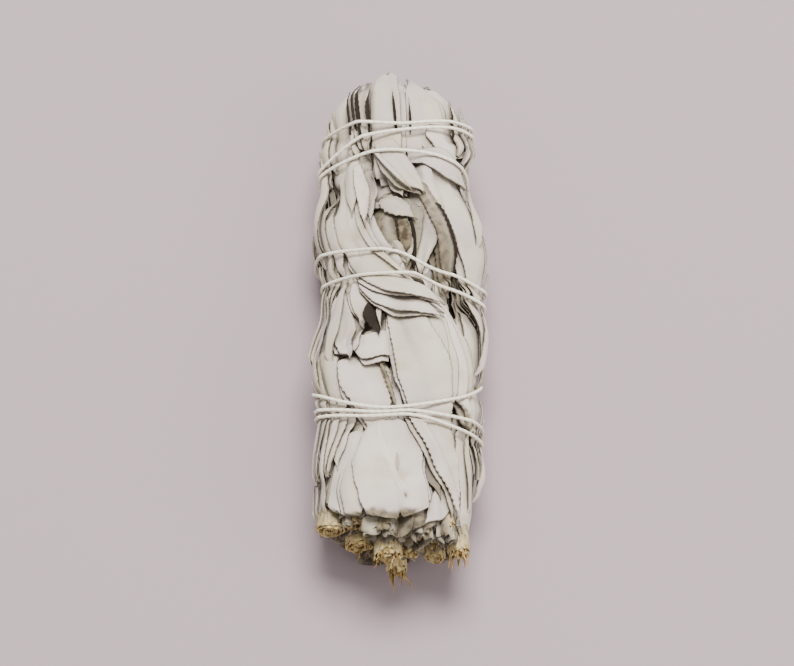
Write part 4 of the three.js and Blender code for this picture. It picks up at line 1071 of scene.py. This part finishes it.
def build_leaf(bm, shaped):
    """Adds a leaf as a thin closed form: its upper face, its rims and its under face."""
    asked, u, across = shaped["asked"], shaped["u"], shaped["across"]
    under = np.linspace(1, -1, 5 if len(across) > 10 else 3)
    v = np.concatenate([across, under[1:]])
    is_under = np.concatenate([np.zeros(len(across)), np.ones(len(under) - 1)])
    is_under[-1] = 0
    tint = np.random.default_rng(9000 + shaped["number"]).random()

    def read(name, i, k):
        return between(shaped[name], u, across, u[i], v[k])

    def put(i, k):
        thin = shaped["thick"] * np.sqrt(np.clip(1 - v[k] ** 2 * 0.92, 0, 1))
        height = read("height", i, k) - is_under[k] * thin - shaped["thick"] * 0.4 * (np.abs(v[k]) > 0.99)
        return pressed_spot(read("along", i, k), read("theta", i, k), height)

    # Painted shade: a place grows darker the deeper it lies under the leaves that cover it; the under face is shaded
    # too, and a deep sheet at least as dark as asked.
    def buried(i, k):
        cover = read_map(covering, read("along", i, k), read("theta", i, k)) - read("height", i, k)
        shade = 0.65 * np.clip((cover - 0.6) / 2.6, 0, 1) * (1 - is_under[k]) + is_under[k] * 0.45
        return np.maximum(shade, asked["deep"])

    def rim(i, k):
        half = np.where(v[k] < 0, shaped["sides"][0][i], shaped["sides"][1][i])
        return np.minimum(half * (1 - np.abs(v[k])), (1 - u[i]) * shaped["length"]) + is_under[k]

    def vein(i, k):
        off = np.abs(v[k]) * asked["width"] / 2
        ribs = np.cos(2 * np.pi * (u[i] * shaped["length"] - 1.1 * off) / VEINS_APART) * (asked["width"] > 5)
        if asked["rib"]:
            return 0.85 + 0.2 * rib_share(asked, u[i], v[k])
        return np.where(np.abs(v[k]) < 0.05, 1.0, np.clip(ribs, 0, 0.9) * (1 - u[i]))

    def dry(i, k):
        amount = asked["dry"] * (1 - 0.3 * np.exp(-(((v[k] - 0.15) / 0.25) ** 2)))
        if asked["rib"]:
            apart = np.hypot((u[i] - 0.84) * shaped["length"], (v[k] - 0.3) * asked["width"] / 1.2)
            amount = amount + 1.4 * np.exp(-((apart / 0.5) ** 2))
        if shaped["torn"] and asked["tip"][0] < 6:
            turn, start = read("theta", i, k), shaped["number"]
            ragged = 2.0 + 0.12 * np.sin(0.9 * turn + start) + 0.22 * np.sin(0.29 * turn + start)
            amount = amount + 0.9 * np.clip((ragged - read("along", i, k)) / 0.8, 0, 1)
        return amount

    tags = {"tint": tint, "buried": buried, "rim": rim, "vein": vein, "dry": dry}
    rolled_grid(bm, len(u) - 1, len(v) - 1, put, tags)


def frill(bm, rng, index, share, reach):
    """Adds a wavy sheet round a stem: the lower ends of the leaves that were bundled with it."""
    middle, stem = np.mean(OUTLINES[index], axis=0), np.array(SPRIGS[index][:2])
    sides = 56
    ring = round_outline(index, np.linspace(0, 1, sides + 1)) - middle
    angle = np.linspace(0, 2 * np.pi, sides + 1)
    wave = 0.7 * np.sin(6 * angle + 6 * rng.random()) + 0.45 * np.sin(11 * angle + 6 * rng.random())
    edge = reach + 0.6 * np.sin(3 * angle + 6 * rng.random()) + 0.35 * np.sin(10 * angle + 6 * rng.random())
    shares = np.array([0, 0.4, 0.75, 0.92, 1.0, 1.0, 0.92, 0.6, 0.2])
    wall = np.array([0, 0, 0, 0, 0, -0.28, -0.28, -0.28, -0.28])

    def put(i, k):
        along = 11.0 + (edge[k] - 11.0) * shares[i]
        t = np.clip(1 - along / GATHERED, 0, 1) ** 2 * (1 - share)
        size = np.linalg.norm(ring[k], axis=-1)
        size = size * share + wave[k] * shares[i] ** 2 * (1.25 - share) * 2 + wall[i]
        way = ring[k] / np.linalg.norm(ring[k], axis=-1)[:, None]
        spot = middle + (stem - middle) * t[:, None] + way * size[:, None]
        return core_spot(along, spot[:, 0], spot[:, 1])

    # The inside of each sheet gets painted shade; its brown is the dry leaf ends' own colour.
    tags = {"tint": 1.0, "buried": lambda i, k: 0.35 * (i > 4), "rim": 1.0, "vein": 0.0,
            "dry": lambda i, k: 0.55 + 0.3 * np.sin(5 * angle[k]) + 0.15 * (i > 2)}
    rolled_grid(bm, len(shares) - 1, sides, put, tags)


# How far out the leaf ends round each stem reach.
FRILL_END = [2.8, 1.6, -1.4, 2.4, -0.8, -1.6, -0.6, 1.6, 1.8, 0.4, 0.2, -1.2]
# The mass inside a sprig runs from here to here.
CORE_START, CORE_END = 5.5, 90
CORE_ROWS, CORE_SIDES = 30, 36

for index in range(len(SPRIGS)):
    bm = bmesh.new()
    for shaped in all_leaves:
        if shaped["asked"]["sprig"] == index:
            build_leaf(bm, shaped)
    rng = np.random.default_rng(600 + index)
    for share, above in ((0.99, 0.0), (0.88, -0.9), (0.78, 0.0), (0.68, -0.9)):
        frill(bm, rng, index, share, FRILL_END[index] + above + 0.5 * rng.random())
    middle = np.mean(OUTLINES[index], axis=0)

    def core_place(i, k):
        """The mass of pressed leaves inside, seen only through the gaps."""
        along = CORE_START + (CORE_END - CORE_START) * np.clip(i / CORE_ROWS * 1.1 - 0.05, 0, 1)
        share = 0.9 * np.minimum(1, np.minimum(i / CORE_ROWS, 1 - i / CORE_ROWS) * 20)
        place = middle + (round_outline(index, k / CORE_SIDES) - middle) * share[:, None]
        return core_spot(along, place[:, 0], place[:, 1])

    # The inner mass is painted fully dark, as the shade deep in the gaps.
    tags = {"tint": 0.0, "buried": 1.0, "rim": 1.0, "vein": 0.0, "dry": 0.0}
    rolled_grid(bm, CORE_ROWS, CORE_SIDES, core_place, tags)
    finished(f"leaves_{index + 1:02d}", bm, [felted_leaf], f"sprig_{index + 1:02d}_leaves")

# ======================================================================
# String
# One length of thin three-ply cotton string, wound round the bunch in crossing turns from one end to the other
# and back, pulled tight enough to press into the leaves, and knotted under it at both ends.
# ======================================================================

# Cotton string: the whitest thing on the bunch, matt, with the twist of its plies.
cotton, tree, shader = new_material("cotton string", roughness=0.9, specular=0.15)
fibres = noise(tree, node(tree, "ShaderNodeTexCoord").outputs["Object"], 2600.0, 3.0)
colour = mixed(tree, ramp(tree, fibres, 0.4, 0.75), linear("#e6decd"), linear("#d0c6b2"))
# Painted shade where the string lies in a narrow gap.
colour = stained_or_shaded(tree, colour, ramp(tree, openness(tree, 0.0008, 6), 0.5, 0.05), "#a89d88")
finish_surface(tree, shader, colour, fibres, 0.3, 0.0001)

STRING_RADIUS = 0.36
STRING_STEP, STRING_SIDES = 0.35, 15
TWIST = 4.6  # the plies go once round in this length
turns = np.linspace(STRING_START, STRING_END, int((STRING_END - STRING_START) * 240) + 1)
string_theta = 180 - 360 * turns
string_place = string_along(turns)
rest = read_map(spread_out(fine_map), string_place, string_theta)
string_height = rest
for _ in range(300):
    padded = np.pad(string_height, 1, mode="edge")
    string_height = np.maximum(rest, (padded[:-2] + 2 * string_height + padded[2:]) / 4)
route = pressed_spot(string_place, string_theta, string_height + STRING_RADIUS)
route[:, 2] = np.maximum(route[:, 2], STRING_RADIUS + 0.2)
steps = np.concatenate([[0], np.cumsum(np.linalg.norm(np.diff(route, axis=0), axis=1))])
print("string length", steps[-1])
string_rows = int(steps[-1] / STRING_STEP)


def on_route(far):
    """A place on the string's route, and the ways along it, out of the bunch and to the side."""

    def at(place):
        return np.stack([np.interp(place, steps, route[:, axis]) for axis in range(3)], axis=-1)

    middle, way = at(far), at(far + 0.5) - at(far - 0.5)
    way /= np.linalg.norm(way, axis=-1)[:, None]
    out = middle - np.array([0, 0, 13.0])
    out[:, 1] = 0
    out -= (out * way).sum(axis=-1)[:, None] * way
    out /= np.linalg.norm(out, axis=-1)[:, None]
    return middle, way, out, np.cross(way, out)


def string_spot(i, k):
    far = i / string_rows * steps[-1]
    middle, way, out, side = on_route(far)
    angle = k / STRING_SIDES * 2 * np.pi
    lobes = 0.77 + 0.23 * np.abs(np.cos(1.5 * (angle - far * 2 * np.pi / TWIST)))
    radius = STRING_RADIUS * lobes * np.clip(np.minimum(far, steps[-1] - far) / 0.3, 0, 1)
    return middle + (radius * np.cos(angle))[:, None] * out + (radius * np.sin(angle))[:, None] * side


KNOT_ROWS, KNOT_SIDES = 44, 8
KNOT_SPREAD = 0.62  # how far its turns stand off the string's middle
bm = bmesh.new()
rolled_grid(bm, string_rows, STRING_SIDES, string_spot)
for far, way_on in ((1.6, 1), (steps[-1] - 1.6, -1)):
    middle, way, out, side = (part[0] for part in on_route(np.array([far])))

    def knot(i, k):
        """Two round turns over the string, then a short cut end."""
        t = i / KNOT_ROWS
        turn = np.clip(t / 0.75, 0, 1) * 4 * np.pi
        tail = np.clip((t - 0.75) / 0.25, 0, 1)
        line = middle + np.outer((turn / (4 * np.pi) - 0.5) * 1.6 + 0.6 * tail, way)
        line = line + np.outer(KNOT_SPREAD * np.cos(turn) + 0.1, out)
        line = line + np.outer(KNOT_SPREAD * np.sin(turn) + 3.2 * tail * way_on, side)
        angle = k / KNOT_SIDES * 2 * np.pi
        size = 0.42 * np.clip(np.minimum(i, KNOT_ROWS - i), 0, 1)
        radial = np.cos(turn)[:, None] * out + np.sin(turn)[:, None] * side
        line = line + (size * np.cos(angle))[:, None] * radial + (size * np.sin(angle))[:, None] * way
        line[:, 2] = np.maximum(line[:, 2], 0.1 + 0.2 * (np.cos(angle) + 1))
        return line

    rolled_grid(bm, KNOT_ROWS, KNOT_SIDES, knot)
finished("string_wound", bm, [cotton], "string")

# ======================================================================
# Stage, light and camera
# A pale card for a floor, a large soft window of light from the upper left and a weaker one from the right.
# ======================================================================

# Pale card: flat and matt, a little mauve.
card, tree, shader = new_material("pale card", roughness=0.9)
shader.inputs["Base Color"].default_value = linear("#9a8a8d")
bpy.ops.mesh.primitive_plane_add(size=4, location=(0, 0, 0))
floor = bpy.context.object
floor.name = "floor"
floor.data.materials.append(card)

world = bpy.data.worlds.new("room")
bpy.context.scene.world = world
world.use_nodes = True
daylight = world.node_tree.nodes["Background"]
daylight.inputs["Color"].default_value = linear("#ffffff")
daylight.inputs["Strength"].default_value = 0.7

# Name, place and size in metres, power in watts
for name, spot, size, power in (("window", (0.05, 0.2, 0.86), 0.42, 19.0), ("fill", (0.6, -0.4, 0.5), 0.6, 3.4)):
    light = bpy.data.lights.new(name, "AREA")
    light.size = size
    light.energy = power
    lamp = bpy.data.objects.new(name, light)
    lamp.location = spot
    lamp.rotation_euler = (Vector((0, 0, 0)) - Vector(spot)).to_track_quat("-Z", "Y").to_euler()
    bpy.context.scene.collection.objects.link(lamp)

# The camera looks down on the bunch from 65 cm away, 62 degrees over the floor, through a long lens.
aim = Vector((-0.0005, -0.0010, 0.0132))
up, away = np.radians(62), 0.65
camera_data = bpy.data.cameras.new("camera")
camera_data.lens = 145
camera_data.sensor_width = 36
camera = bpy.data.objects.new("camera", camera_data)
camera.location = aim + away * Vector((0, -np.cos(up), np.sin(up)))
camera.rotation_euler = (aim - camera.location).to_track_quat("-Z", "Y").to_euler()
bpy.context.scene.collection.objects.link(camera)
bpy.context.scene.camera = camera
